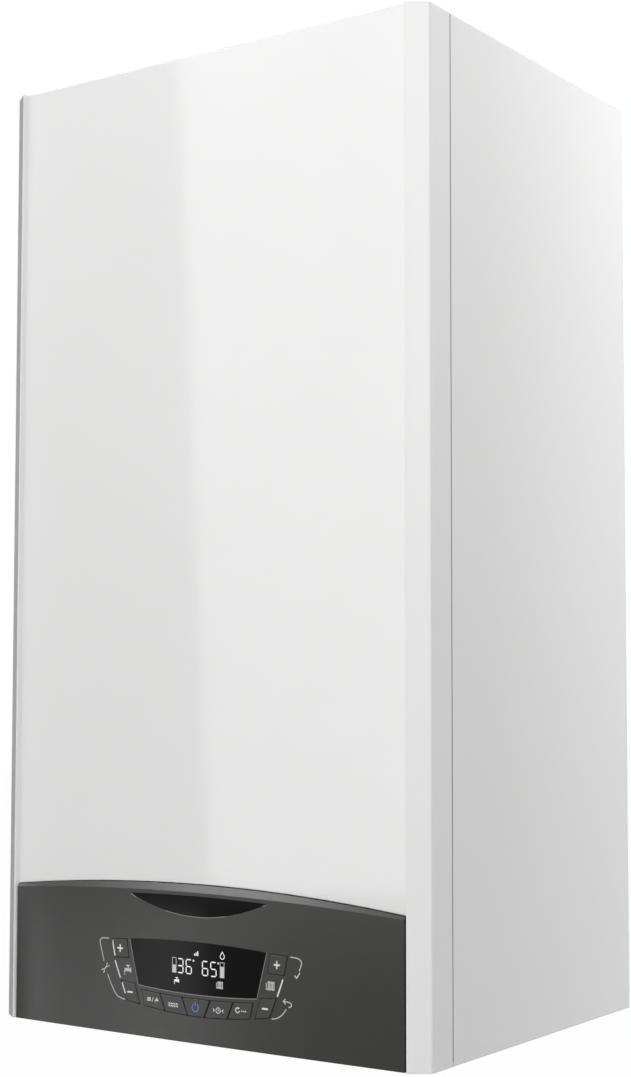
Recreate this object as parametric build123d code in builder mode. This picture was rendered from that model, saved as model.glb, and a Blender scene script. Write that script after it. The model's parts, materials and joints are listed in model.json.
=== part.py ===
from build123d import *
import math
import os

# A wall-hung condensing combi boiler, in millimetres. +X is to the right, +Y points into the wall and
# +Z is up. The origin is on the wall, midway between the two bolts that carry the boiler.

# ---------------------------------------------------------------- driving sizes

# Casing
casing_width = 400.0
casing_height = 745.0
casing_depth = 315.0  # from the wall to the pillars' crests
bolt_drop = 50.0  # the wall bolts below the casing's top
sheet = 1.0  # casing steel
fold = 12.0  # width of the folded flanges
seam = 1.4  # between the front cover and the side panels
play = 0.3  # around a piece that moves, or is curved
touch = 0.1  # round a piece that is pushed into place
cut = 1.0  # how far a cut runs past the face it opens

# Front cover
cover_reach = 36.4  # from the pillars' crests back to the cover's rear edge
cover_proud = 0.3  # how far its sides stand out past the side panels
crest_inset = 14.8
crest_step = 1.7
crest_radius = 0.6
bend_radius = 2.0
pillar_slope = 10.4
panel_recess = 3.8  # the flat panel behind the crests
lip_depth = 12.0  # the fold along the arch
tab_reach = 20.6  # the bottom tabs behind the cover's rear edge
tab_height = 1.0  # above the casing's bottom edge
tab_screw = 10.6  # the cover's screws behind its rear edge
slot_width = 5.0

# Facia of the control panel
facia_height = 115.9  # at the middle of its arch
arch_rise = 10.2
facia_gap = 0.5
facia_edge = 2.6  # thickness at its ends
facia_bulge = 1.8  # how much thicker it is in the middle
facia_set = 0.2  # its back behind the cover's flat panel
bevel_height = 5.5
bevel_depth = 3.0

# Controls on the facia, measured from their own middle and the casing's bottom edge
cluster_x = 1.6
window_top_half = 64.4
window_bottom_half = 55.8
window_top = 71.6
window_bottom = 38.2
window_rise = 2.3
window_drop = 2.4
window_depth = 2.2
lcd_width = 84.0
lcd_height = 30.0
lcd_middle = 55.0
trim_half = 64.8
trim_tip = 106.1
trim_rise = 1.3
trim_drop = 13.6
trim_depth = 1.2

# Buttons
row_top = 32.6
row_bottom = 19.4
row_top_sag = 0.00075  # how the row's edges rise away from the middle, per millimetre squared
row_bottom_sag = 0.00136
row_top_breaks = (13.45, 34.75, 53.0)
row_bottom_breaks = (7.65, 29.15, 50.1)
plus_corners = ((67.4, 71.2), (83.5, 70.5), (80.6, 56.3), (65.4, 57.0))
minus_corners = ((59.0, 38.5), (74.0, 39.8), (67.8, 25.2), (54.2, 23.2))
minus_round = 5.0
corner_round = 0.7
button_gap = 0.3
button_proud = 0.5
button_chamfer = 0.4
button_length = 4.4
button_travel = 1.2
stem_radius = 1.8
stem_reach = 5.1  # behind the facia
switch_size = 6.0
switch_height = 3.4

# Control box behind the facia
box_half = 160.0
box_wall = 2.0
box_base = 3.0
box_top = 92.0
box_deep_low = 87.0  # behind the facia, at the bottom
box_deep_high = 49.0  # and at the top
lid_thickness = 2.0
board_half = 122.0
board_thickness = 1.6
hinge_height = 10.0  # of the control panel's pins above the casing's bottom edge
hinge_back = 8.0  # behind the facia's back
pin_radius = 4.0
pin_fit = 0.05
pin_length = 6.5
arm_gap = 3.0  # between the box and the arms that carry it
arm_thickness = 3.0
arm_radius = 6.0

# Wall bracket and back panel
bracket_width = 320.0
bracket_low = 28.0  # below the bolts
bracket_steel = 2.5
bolt_spacing = 260.0
bolt_hole_radius = 4.5
bolt_head_room = 12.0
hook_x = 70.0
hook_width = 50.0
hook_height = 14.5
hook_lip = 12.0
back_gap = 5.0  # between the wall and the back panel

# Bottom frame
flange_height = 2.4  # of the side panels' lower flanges above the casing's bottom edge
frame_steel = 1.5
frame_depth = 190.0
tail_pitch = 67.0
tail_y = -95.0
tail_drop = 18.0  # below the casing's bottom edge
tail_radius_large = 13.2
tail_radius_small = 10.48
tail_wall = 2.5
tail_nut_height = 9.0
thread_length = 17.0
tail_relief = 0.6  # of a tail's plain body above its thread
manifold_height = 30.0  # of the manifolds' undersides
hole_gap = 0.5

# Screws
screw_head_radius = 3.8
screw_head = 1.2
screw_radius = 1.9
screw_length = 9.0
screw_inset = 9.0
screw_hole = 2.2
top_screw_rows = (-60.0, -220.0)
seal_base = 4.0
seal_band = 11.5
seal_inset = 0.5  # of its edge, behind the casing's skin

# Flue collar and duct
flue_y = -140.0
flue_bore = 30.1
air_radius = 50.0
collar_height = 45.0
collar_flange = 62.0
collar_flange_steel = 4.0
collar_wall = 3.0
collar_web = 3.0
collar_web_height = 20.0
duct_radius = 30.3
duct_wall = 1.0
socket_wall = 3.2
socket_depth = 30.0
stop_ring = 2.0
seal_height = 4.8
seal_width = 1.75

# Primary heat exchanger
pipe_lane = 50.0  # beside the exchanger, for the flow pipe
fan_gap = 2.0  # between the exchanger and the fan
exchanger_z = 440.0  # above the casing's bottom edge
exchanger_front = -235.0
exchanger_rear = -95.0
exchanger_wall = 3.0
exchanger_round = 40.0
coil_margin = 14.5  # between the coil and the housing's outside
coil_band = 33.5  # the coil's own width
coil_turns = 8
coil_end_gap = 4.0
coil_steel = 1.2
coil_link = 5.0
stub_radius = 9.0
stub_offset = 50.0
stub_length = 8.0
stub_setback = 20.0  # of the flow stub behind the exchanger's front
stub_return_setback = 17.0  # of the return stub in front of its rear
burner_share = 0.53125  # of the coil's inside that the burner takes
burner_length = 112.0
burner_rim = 4.0
burner_steel = 1.0
door_margin = 2.0
door_thickness = 5.0
stud_inset = 6.0
nut_across = 8.0
nut_height = 5.0
dome_margin = 6.0  # between the dome's edge and the electrode
duct_height = 44.0
duct_depth = 22.0
duct_steel = 3.0
electrode_margin = 10.0  # between the electrode and the coil's inside
electrode_angle = math.radians(45.0)  # below the left, round the burner
electrode_radius = 3.5
electrode_length = 24.0
electrode_wire = 1.2
electrode_reach = 45.0
lead_radius = 2.5
lead_out = 9.0
lead_bend = 6.0

# Fan, silencer and gas valve
fan_margin = 10.0  # between the fan and the casing's side
fan_y = -165.0
fan_radius = 57.0
fan_wall = 2.5
fan_outlet_width = 40.0
wheel_radius = 48.0
wheel_height = 26.0
wheel_eye = 30.0
wheel_plate = 2.0
wheel_blades = 12
shaft_radius = 3.0
shaft_fit = 0.05
fan_motor_radius = 40.0
fan_motor_height = 50.0
motor_round = 5.0
fan_inlet = 26.0
mixer_radius = 28.0
mixer_wall = 3.0
mixer_height = 62.0
mixer_flange = 34.0
silencer_width = 60.0
silencer_height = 90.0
silencer_wall = 2.5
port_radius = 10.0
port_bore = 6.0
port_drop = 33.0  # of the gas port below the fan
port_reach = 40.0
valve_width = 64.0
valve_depth = 50.0
valve_height = 83.0
valve_front = -262.0
valve_gap = 12.0  # below the mixer
solenoid_radius = 18.0
solenoid_length = 9.0
injector_radius = 7.0
injector_bend = 12.0
gas_pipe_radius = 9.0
gas_run = 215.0  # height at which the gas pipe crosses
gas_bend = 20.0
pipe_wall = 1.0

# Expansion vessel
vessel_width = 300.0
vessel_height = 390.0
vessel_thickness = 78.0
vessel_base = 250.0
vessel_round = 50.0
vessel_edge = 18.0
vessel_steel = 1.5
vessel_port_x = 120.0
vessel_port_depth = 39.0
vessel_port_radius = 8.0
vessel_port_length = 14.0
hose_radius = 6.0
hose_bend = 18.0
hose_turn_high = 150.0
hose_turn_low = 130.0
hose_inset = 11.0

# Hydraulics
manifold_front = -140.0
manifold_rear = -65.0
manifold_inner = 50.0
manifold_margin = 10.0  # between the manifolds and the casing's side
flow_top = 110.0
return_top = 104.0
manifold_round = 8.0
plates_half = 90.0
plates_low = 36.0
plates_high = 108.0
plates_rear = -16.0
plates_front = -60.0
plate_pitch = 4.0
plate_port_x = 75.0
plate_port_radius = 8.0
pump_inset = 75.0  # from the casing's side
pump_y = -112.0
pump_z = 150.0
pump_radius = 44.0
pump_width = 48.0
pump_outlet_gap = 24.0  # to the right of the exchanger
pump_outlet_z = 200.0
pump_port_radius = 12.0
pump_chamber = 34.0
impeller_radius = 30.0
impeller_width = 13.0
impeller_vanes = 6
pump_motor_radius = 41.0
pump_motor_length = 80.0
diverter_width = 40.0
diverter_height = 62.0
diverter_bore = 10.0
diverter_bore_depth = 50.0
diverter_plug = 9.7
diverter_plug_height = 8.0
diverter_lift = 6.0
diverter_stem_radius = 3.0
flow_pipe_inset = 24.0  # from the casing's side
flow_pipe_turn = 150.0
flow_pipe_setback = 12.0  # behind the manifold's front
water_bend = 14.0
safety_x = 155.0
safety_z = 60.0
safety_radius = 12.0
safety_length = 22.0
safety_knob_radius = 15.0
safety_knob_length = 17.0
safety_spindle = 4.0
filling_x = 100.5
filling_radius = 11.0
filling_knob_radius = 14.0
filling_knob_height = 14.0
filling_spindle = 3.0
spindle_length = 10.0
knob_gap = 2.0
knob_flutes = 8
flute_radius = 2.5

# Condensate trap and cable gland
trap_x = -60.0
trap_y = -165.0
trap_radius = 27.0
trap_base = 145.0
trap_height = 100.0
trap_cap = 12.0
drain_radius = 10.7
drain_wall = 2.0
drain_insert = 13.0
trap_outlet = 9.5
trap_outlet_length = 15.0
hose_outlet_x = -30.0
drain_hose_wall = 1.8
drain_hose_drop = 12.0
drain_hose_high = 95.0
drain_hose_low = 65.0
drain_cuff_gap = 1.0  # of the cuff at the hose's end below the casing
gland_x = -100.5
gland_y = -150.0
gland_radius = 8.0
gland_nut = 12.0
gland_nut_height = 5.0
gland_bore = 4.0

# ---------------------------------------------------------------- places worked out from them

top = bolt_drop
bottom = top - casing_height
side_x = casing_width / 2
front_y = -casing_depth
cover_x = side_x + cover_proud
crest_x = side_x - crest_inset
flank_x = crest_x - crest_step
panel_y = front_y + panel_recess
cover_rear = front_y + cover_reach
chassis_front = cover_rear + seam
inner_x = side_x - sheet
tab_screw_y = cover_rear + tab_screw
screw_x = side_x - screw_inset
arch_radius = (flank_x**2 + arch_rise**2) / (2 * arch_rise)
arch_top = bottom + facia_height
arch_centre = arch_top - arch_radius
facia_x = flank_x - facia_gap
facia_back = panel_y + facia_set
facia_front = facia_back - facia_edge - facia_bulge
hinge_y = facia_back + hinge_back
hinge_z = bottom + hinge_height
flange_z = bottom + flange_height
frame_z = flange_z + sheet
frame_top = frame_z + frame_steel
manifold_z = bottom + manifold_height
tail_end = bottom - tail_drop
thread_top = tail_end + thread_length
back_face = -back_gap - sheet
vessel_rear = back_face - play
hub_z = bottom + exchanger_z
fan_x = side_x - fan_margin - fan_radius
exchanger_left = pipe_lane - side_x
exchanger_right = fan_x - fan_radius - fan_gap
exchanger_x = (exchanger_left + exchanger_right) / 2
exchanger_half = exchanger_right - exchanger_x
fan_low = hub_z - duct_height / 2
fan_high = hub_z + duct_height / 2
door_front = exchanger_front - door_thickness
duct_front = door_front - duct_depth
duct_right = fan_x - fan_radius + fan_wall / 2 + fan_outlet_width
duct_left = duct_right - fan_outlet_width
mixer_base = fan_low - mixer_height
port_z = fan_low - port_drop
valve_top = mixer_base - valve_gap
valve_bottom = valve_top - valve_height
valve_y = valve_front + valve_depth / 2
valve_left = fan_x - valve_width / 2
solenoid_z = valve_top - valve_height / 2
exchanger_low = hub_z - exchanger_half
coil_outer = exchanger_half - coil_margin
coil_inner = coil_outer - coil_band
burner_radius = coil_inner * burner_share
electrode_circle = coil_inner - electrode_margin
dome_radius = electrode_circle - dome_margin
door_radius = exchanger_half - door_margin
stud_circle = door_radius - stud_inset
manifold_outer = side_x - manifold_margin
pump_x = side_x - pump_inset
pump_outlet_x = exchanger_right + pump_outlet_gap
flow_pipe_x = flow_pipe_inset - side_x

os.makedirs("parts", exist_ok=True)


def save(piece, name):
    """Labels a finished piece and writes it."""
    piece.part.label = name
    export_step(piece.part, f"parts/{name}.step")


def block(x, y, z, mode=Mode.ADD):
    """A box between two values on each axis."""
    middle = [(low + high) / 2 for low, high in (x, y, z)]
    size = [abs(high - low) for low, high in (x, y, z)]
    with Locations(tuple(middle)):
        Box(*size, mode=mode)


TURNS = {"X": (0, 90, 0), "Y": (90, 0, 0), "Z": (0, 0, 0)}


def rod(axis, across, span, radius, mode=Mode.ADD):
    """A cylinder along an axis between two values, at the other two coordinates in X, Y, Z order."""
    place = list(across)
    place.insert("XYZ".index(axis), (span[0] + span[1]) / 2)
    with Locations(tuple(place)):
        Cylinder(radius, abs(span[1] - span[0]), rotation=TURNS[axis], mode=mode)


def outline(*points):
    """A flat face through corner points."""
    with BuildLine() as edge:
        Polyline(*points, close=True)
    make_face(edge.edges())


def tube(points, bend, radius, wall):
    """A round pipe along straight runs joined by bends; without a wall it is solid."""
    with BuildLine() as route:
        FilletPolyline(*points, radius=bend)
    with BuildSketch(Plane(origin=route.line @ 0, z_dir=route.line % 0)) as section:
        Circle(radius)
        if wall:
            Circle(radius - wall, mode=Mode.SUBTRACT)
    sweep(section.sketch, path=route.line)


def flutes(radius):
    """A round outline with shallow finger grooves."""
    Circle(radius)
    with PolarLocations(radius + flute_radius / 2, knob_flutes):
        Circle(flute_radius, mode=Mode.SUBTRACT)


def front_at(x):
    """The facia's front surface at a distance from the casing's middle."""
    return facia_front + facia_bulge * (x / facia_x) ** 2


def arch(half, rise=0.0, mode=Mode.ADD):
    """The control panel's opening, seen from the front: flat base, upright sides and an arched top."""
    side_top = arch_centre + math.sqrt(arch_radius**2 - half**2) + rise
    with BuildLine() as edge:
        Polyline((-half, side_top), (-half, bottom), (half, bottom), (half, side_top))
        ThreePointArc((half, side_top), (0, arch_top + rise), (-half, side_top))
    make_face(edge.edges(), mode=mode)


# ---------------------------------------------------------------- front cover

with BuildPart() as front_cover:
    with BuildSketch(Plane.XY.offset(bottom)) as plan:
        outline(
            (-cover_x, cover_rear),
            (-cover_x, front_y + pillar_slope),
            (-crest_x, front_y),
            (-flank_x, panel_y),
            (flank_x, panel_y),
            (crest_x, front_y),
            (cover_x, front_y + pillar_slope),
            (cover_x, cover_rear),
        )
        fillet(plan.vertices().group_by(Axis.Y)[0], radius=crest_radius)
        bends = plan.vertices().filter_by(lambda v: abs(v.X) > side_x and v.Y < cover_rear - sheet)
        fillet(bends, radius=bend_radius)
    extrude(amount=casing_height)
    with BuildSketch(Plane.XY.offset(bottom)):
        add(plan.sketch_local)
        offset(amount=-sheet, mode=Mode.REPLACE)
    extrude(amount=casing_height - sheet, mode=Mode.SUBTRACT)
    # open at the rear, inside the flanges folded along its sides and top
    opening_x = cover_x - fold
    opening_y = (cover_rear - sheet - cut, cover_rear + cut)
    block((-opening_x, opening_x), opening_y, (bottom - cut, top - fold), Mode.SUBTRACT)
    # the opening for the facia, with a fold along its arch and beside each pillar
    with BuildSketch(Plane.XZ.offset(-panel_y - sheet - cut)):
        arch(flank_x)
    extrude(amount=sheet + cut + panel_recess, mode=Mode.SUBTRACT)
    with BuildSketch(Plane.XZ.offset(-panel_y - lip_depth)):
        arch(flank_x + sheet, rise=sheet)
        arch(flank_x, mode=Mode.SUBTRACT)
    extrude(amount=lip_depth)
    # the tabs at the foot of the pillars, slotted for the casing's screws
    tab_z = (bottom + tab_height, bottom + tab_height + sheet)
    tab_end = cover_rear + tab_reach
    for side in (-1, 1):
        tab_inner = side * (flank_x + sheet / 2)
        block((tab_inner, side * (side_x - sheet / 2)), (front_y + pillar_slope, cover_rear), tab_z)
        block((tab_inner, side * (inner_x - 2 * play)), (cover_rear - sheet, tab_end), tab_z)
        slot_x = (side * screw_x - slot_width / 2, side * screw_x + slot_width / 2)
        slot_y = (tab_screw_y - slot_width / 2, tab_end + cut)
        block(slot_x, slot_y, (bottom, bottom + tab_height + sheet + cut), Mode.SUBTRACT)
save(front_cover, "front_cover")

# ---------------------------------------------------------------- facia, display and trim


def facia_front_solid():
    """The bowed slab that every piece of the facia's front is cut from."""
    end = facia_back - facia_edge
    with BuildSketch(Plane.XY.offset(bottom)) as slab:
        with BuildLine():
            Polyline((facia_x, end), (facia_x, facia_back), (-facia_x, facia_back), (-facia_x, end))
            ThreePointArc((-facia_x, end), (0, facia_front), (facia_x, end))
        make_face()
    extrude(slab.sketch, amount=facia_height)


def window_outline():
    """The display window's shape, arched above and below."""
    low = bottom + window_bottom
    high = bottom + window_top
    left_top = cluster_x - window_top_half
    right_top = cluster_x + window_top_half
    left_low = cluster_x - window_bottom_half
    right_low = cluster_x + window_bottom_half
    with BuildLine() as edge:
        ThreePointArc((left_top, high), (cluster_x, high + window_rise), (right_top, high))
        Line((right_top, high), (right_low, low))
        ThreePointArc((right_low, low), (cluster_x, low - window_drop), (left_low, low))
        Line((left_low, low), (left_top, high))
    make_face(edge.edges())


def trim_outline():
    """The crescent of the trim."""
    tip = bottom + trim_tip
    left = cluster_x - trim_half
    right = cluster_x + trim_half
    with BuildLine() as edge:
        ThreePointArc((left, tip), (cluster_x, tip + trim_rise), (right, tip))
        ThreePointArc((right, tip), (cluster_x, tip - trim_drop), (left, tip))
    make_face(edge.edges())


def row_cells():
    """The five cells of the lower row of buttons, from left to right, as corner points."""
    top_edge = [-x for x in reversed(row_top_breaks)] + list(row_top_breaks)
    low_edge = [-x for x in reversed(row_bottom_breaks)] + list(row_bottom_breaks)
    high = [(x, row_top + row_top_sag * x**2) for x in top_edge]
    low = [(x, row_bottom + row_bottom_sag * x**2) for x in low_edge]
    return [(high[i], high[i + 1], low[i + 1], low[i]) for i in range(5)]


def mirrored(corners):
    """The same corners on the other side of the controls' middle."""
    return tuple((-x, z) for x, z in reversed(corners))


mode_cell, comfort_cell, power_cell, auto_cell, reset_cell = row_cells()
button_cells = {
    "left_plus_button": mirrored(plus_corners),
    "left_minus_button": mirrored(minus_corners),
    "mode_button": mode_cell,
    "comfort_button": comfort_cell,
    "power_button": power_cell,
    "auto_button": auto_cell,
    "reset_button": reset_cell,
    "right_plus_button": plus_corners,
    "right_minus_button": minus_corners,
}


def cell_outline(name, inset=0.0):
    """A button's opening in the facia, or the button itself: a gap smaller all round, corners eased."""
    corners = [(cluster_x + x, bottom + z) for x, z in button_cells[name]]
    with BuildSketch() as cell:
        outline(*corners)
        if inset:
            offset(amount=-inset, mode=Mode.REPLACE)
        lower = cell.vertices().sort_by(Axis.Y)[:2]
        outer = sorted(lower, key=lambda v: abs(v.X - cluster_x))[-1]
        round_one = "minus" in name
        if inset:
            eased = cell.vertices().filter_by(lambda v: not round_one or abs(v.X - outer.X) > sheet)
            fillet(eased, radius=corner_round)
        if round_one:
            near = cell.vertices().sort_by(lambda v: abs(v.X - outer.X) + abs(v.Y - outer.Y))[0]
            fillet(near, radius=minus_round - inset)
    return cell.sketch_local


openings = {name: cell_outline(name) for name in button_cells}
caps = {name: cell_outline(name, inset=button_gap) for name in button_cells}
lcd_z = bottom + lcd_middle

with BuildPart() as facia:
    facia_front_solid()
    with BuildSketch(Plane.XZ.offset(-facia_back - cut)):
        arch(facia_x, rise=-facia_gap)
    extrude(amount=facia_edge + facia_bulge + 2 * cut, mode=Mode.INTERSECT)
    # the bevel is a cone about the arch's own centre, so it narrows as the bow falls away
    bevel_top = arch_top - facia_gap
    bevel_run = bevel_depth + cut
    with BuildSketch(Plane.YZ):
        outline(
            (facia_front + bevel_depth, bevel_top),
            (facia_front - cut, bevel_top - bevel_height * bevel_run / bevel_depth),
            (facia_front - cut, bevel_top + cut),
            (facia_front + bevel_depth, bevel_top + cut),
        )
    revolve(axis=Axis((0, 0, arch_centre), (0, 1, 0)), mode=Mode.SUBTRACT)
    with BuildSketch(Plane.XZ.offset(-facia_front - window_depth)):
        window_outline()
    extrude(amount=window_depth + cut, mode=Mode.SUBTRACT)
    lcd_x = (cluster_x - lcd_width / 2, cluster_x + lcd_width / 2)
    lcd_span = (lcd_z - lcd_height / 2, lcd_z + lcd_height / 2)
    block(lcd_x, (facia_front, facia_back + cut), lcd_span, Mode.SUBTRACT)
    with BuildSketch(Plane.XZ.offset(-facia_front - trim_depth)):
        trim_outline()
    extrude(amount=trim_depth + cut, mode=Mode.SUBTRACT)
    for opening in openings.values():
        with BuildSketch(Plane.XZ.offset(-facia_back - cut)):
            add(opening)
        extrude(amount=facia_edge + facia_bulge + 2 * cut, mode=Mode.SUBTRACT)
save(facia, "facia")

with BuildPart() as display_window:
    facia_front_solid()
    with BuildSketch(Plane.XZ.offset(-facia_front - window_depth)):
        window_outline()
        offset(amount=-touch, mode=Mode.REPLACE)
    extrude(amount=window_depth + cut, mode=Mode.INTERSECT)
save(display_window, "display_window")

with BuildPart() as crest_trim:
    facia_front_solid()
    with BuildSketch(Plane.XZ.offset(-facia_front - trim_depth)):
        trim_outline()
        offset(amount=-touch, mode=Mode.REPLACE)
    extrude(amount=trim_depth + cut, mode=Mode.INTERSECT)
save(crest_trim, "crest_trim")

# ---------------------------------------------------------------- buttons and control box

stem_end = facia_back + stem_reach
switch_face = stem_end + button_travel + play
board_front = switch_face + switch_height


def cell_middle(name):
    """The middle of a button's cell, in the casing's own coordinates."""
    corners = button_cells[name]
    x = sum(corner[0] for corner in corners) / len(corners)
    z = sum(corner[1] for corner in corners) / len(corners)
    return cluster_x + x, bottom + z


for name in button_cells:
    x, z = cell_middle(name)
    face = front_at(x) - button_proud
    with BuildPart() as button:
        with BuildSketch(Plane.XZ.offset(-face - button_length)):
            add(caps[name])
        extrude(amount=button_length)
        chamfer(button.faces().sort_by(Axis.Y)[0].edges(), length=button_chamfer)
        rod("Y", (x, z), (face + button_length, stem_end), stem_radius)
    save(button, name)

box_low = bottom + box_base
box_high = bottom + box_top
low_rear = (facia_back + box_deep_low, box_low)
high_rear = (facia_back + box_deep_high, box_high)

with BuildPart() as control_box:
    with BuildSketch(Plane.YZ):
        outline((facia_back, box_low), low_rear, high_rear, (facia_back, box_high))
    extrude(amount=box_half, both=True)
    hollow = box_half - box_wall
    hollow_y = (facia_back - cut, low_rear[0] + cut)
    block((-hollow, hollow), hollow_y, (box_low + box_wall, box_high - box_wall), Mode.SUBTRACT)
    for side in (-1, 1):
        wall_x = (side * (hollow - cut), side * (box_half + cut))
        rod("X", (hinge_y, hinge_z), wall_x, pin_radius + pin_fit, Mode.SUBTRACT)
save(control_box, "control_box")

with BuildPart() as control_box_lid:
    slope = Vector(high_rear[0] - low_rear[0], high_rear[1] - low_rear[1]).normalized()
    out_y = slope.Y * lid_thickness
    out_z = -slope.X * lid_thickness
    with BuildSketch(Plane.YZ):
        outline(
            low_rear,
            (low_rear[0] + out_y, low_rear[1] + out_z),
            (high_rear[0] + out_y, high_rear[1] + out_z),
            high_rear,
        )
    extrude(amount=box_half, both=True)
save(control_box_lid, "control_box_lid")

with BuildPart() as main_board:
    board_z = (box_low + box_wall + play, box_high - box_wall - play)
    block((-board_half, board_half), (board_front, board_front + board_thickness), board_z)
    half_switch = switch_size / 2
    for name in button_cells:
        x, z = cell_middle(name)
        switch_x = (x - half_switch, x + half_switch)
        block(switch_x, (switch_face, board_front), (z - half_switch, z + half_switch))
    # the display module, whose face lies just behind the window
    module_x = (lcd_x[0] + play, lcd_x[1] - play)
    module_z = (lcd_span[0] + play, lcd_span[1] - play)
    block(module_x, (facia_front + window_depth + play, board_front), module_z)
save(main_board, "main_board")

# ---------------------------------------------------------------- wall bracket and casing panels

with BuildPart() as wall_bracket:
    block((-bracket_width / 2, bracket_width / 2), (-bracket_steel, 0), (-bracket_low, hook_height))
    lip_y = back_face - bracket_steel
    shelf_z = hook_height - bracket_steel
    for side in (-1, 1):
        hook = (side * hook_x - hook_width / 2, side * hook_x + hook_width / 2)
        block(hook, (lip_y - bracket_steel, 0), (shelf_z, hook_height))
        block(hook, (lip_y - bracket_steel, lip_y), (shelf_z, hook_height + hook_lip))
        bolt = (side * bolt_spacing / 2, 0)
        rod("Y", bolt, (-bracket_steel - cut, cut), bolt_hole_radius, Mode.SUBTRACT)
save(wall_bracket, "wall_bracket")

with BuildPart() as back_panel:
    back_x = inner_x - play
    back_z = (frame_top, top - 2 * sheet - play)
    block((-back_x, back_x), (back_face, -back_gap), back_z)
    for side in (-1, 1):
        block((side * (back_x - sheet), side * back_x), (back_face - fold, back_face), back_z)
        hook = (side * hook_x - hook_width / 2 - sheet, side * hook_x + hook_width / 2 + sheet)
        block(hook, (back_face - cut, cut), (hook_height - fold, hook_height), Mode.SUBTRACT)
        bolt = (side * bolt_spacing / 2, 0)
        rod("Y", bolt, (back_face - cut, cut), bolt_head_room, Mode.SUBTRACT)
save(back_panel, "back_panel")


def side_panel(side, name):
    """A side panel with its front, rear, top and bottom flanges folded inwards."""
    inner = side * inner_x
    edge = side * (side_x - fold)
    with BuildPart() as panel:
        block((side * side_x, inner), (chassis_front, 0), (bottom, top))
        block((edge, inner), (chassis_front, chassis_front + sheet), (flange_z, top - fold - play))
        block((edge, inner), (-sheet, 0), (frame_top, top - sheet))
        block((edge, inner), (chassis_front, -sheet), (flange_z, frame_z))
        block((edge, inner), (chassis_front + 2 * sheet, -sheet), (top - 2 * sheet, top - sheet))
        for y in top_screw_rows:
            rod("Z", (side * screw_x, y), (top - 3 * sheet, top), screw_hole, Mode.SUBTRACT)
        rod("Z", (side * screw_x, tab_screw_y), (flange_z - cut, frame_z + cut), screw_hole, Mode.SUBTRACT)
    save(panel, name)


side_panel(-1, "left_side_panel")
side_panel(1, "right_side_panel")

with BuildPart() as top_panel:
    plate_x = (-inner_x + play, inner_x - play)
    block(plate_x, (chassis_front, -sheet - play), (top - sheet, top))
    block(plate_x, (chassis_front, chassis_front + sheet), (top - fold, top - sheet))
    rod("Z", (0, flue_y), (top - sheet - cut, top + cut), air_radius - collar_wall, Mode.SUBTRACT)
    for side in (-1, 1):
        for y in top_screw_rows:
            rod("Z", (side * screw_x, y), (top - sheet - cut, top + cut), screw_hole, Mode.SUBTRACT)
save(top_panel, "top_panel")

with BuildPart() as cover_seal:
    seal_x = side_x - seal_inset
    seal_top = top - seal_inset
    block((-seal_x, seal_x), (cover_rear + touch, chassis_front), (bottom + seal_base, seal_top))
    inside = seal_x - seal_band
    inside_z = (bottom, seal_top - seal_band)
    block((-inside, inside), (cover_rear - cut, chassis_front + cut), inside_z, Mode.SUBTRACT)
save(cover_seal, "cover_seal")


def screw(x, y, seat, up):
    """A low-headed screw whose head bears on a face at the given height; it points up or down."""
    rod("Z", (x, y), (seat, seat - up * screw_head), screw_head_radius)
    rod("Z", (x, y), (seat, seat + up * screw_length), screw_radius)


with BuildPart() as casing_screws:
    for side in (-1, 1):
        for y in top_screw_rows:
            screw(side * screw_x, y, top, -1)
        screw(side * screw_x, tab_screw_y, bottom + tab_height - touch, 1)
save(casing_screws, "casing_screws")

# ---------------------------------------------------------------- bottom frame and what passes through it

tails = [
    (-2 * tail_pitch, tail_radius_large),
    (-tail_pitch, tail_radius_small),
    (tail_pitch, tail_radius_small),
    (2 * tail_pitch, tail_radius_large),
]
heating_x = -2 * tail_pitch
frame_cut = (frame_z - cut, frame_top + cut)

with BuildPart() as bottom_frame:
    block((-inner_x + play, inner_x - play), (-frame_depth, -sheet - play), (frame_z, frame_top))
    for x, radius in tails:
        rod("Z", (x, tail_y), frame_cut, radius + hole_gap, Mode.SUBTRACT)
    rod("Z", (0, tail_y), frame_cut, tail_radius_large + hole_gap, Mode.SUBTRACT)
    rod("Z", (filling_x, tail_y), frame_cut, filling_radius + hole_gap, Mode.SUBTRACT)
    rod("Z", (gland_x, gland_y), frame_cut, gland_radius + play, Mode.SUBTRACT)
    rod("Z", (hose_outlet_x, trap_y), frame_cut, trap_outlet + play, Mode.SUBTRACT)
    # the arms and pins on which the control panel swings down
    for side in (-1, 1):
        arm_inner = side * (box_half + arm_gap)
        arm = (arm_inner, arm_inner + side * arm_thickness)
        block(arm, (hinge_y, tail_y), (hinge_z - arm_radius, hinge_z + arm_radius))
        rod("X", (hinge_y, hinge_z), arm, arm_radius)
        rod("X", (hinge_y, hinge_z), (arm_inner, arm_inner - side * pin_length), pin_radius)
save(bottom_frame, "bottom_frame")

with BuildPart() as water_tails:
    for x, radius in tails:
        rod("Z", (x, tail_y), (tail_end, thread_top), radius)
        rod("Z", (x, tail_y), (thread_top, manifold_z), radius - tail_relief)
        with BuildSketch(Plane.XY.offset(manifold_z - tail_nut_height)):
            with Locations((x, tail_y)):
                RegularPolygon(radius + tail_wall, 6)
        extrude(amount=tail_nut_height)
        rod("Z", (x, tail_y), (tail_end - cut, manifold_z + cut), radius - tail_wall, Mode.SUBTRACT)
save(water_tails, "water_tails")

with BuildPart() as cable_gland:
    for low in (frame_z - gland_nut_height, frame_top):
        with BuildSketch(Plane.XY.offset(low)):
            with Locations((gland_x, gland_y)):
                RegularPolygon(gland_nut, 6)
        extrude(amount=gland_nut_height)
    gland_z = (frame_z - 2 * gland_nut_height, frame_top + 2 * gland_nut_height)
    rod("Z", (gland_x, gland_y), gland_z, gland_radius)
    rod("Z", (gland_x, gland_y), (gland_z[0] - cut, gland_z[1] + cut), gland_bore, Mode.SUBTRACT)
save(cable_gland, "cable_gland")

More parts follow.
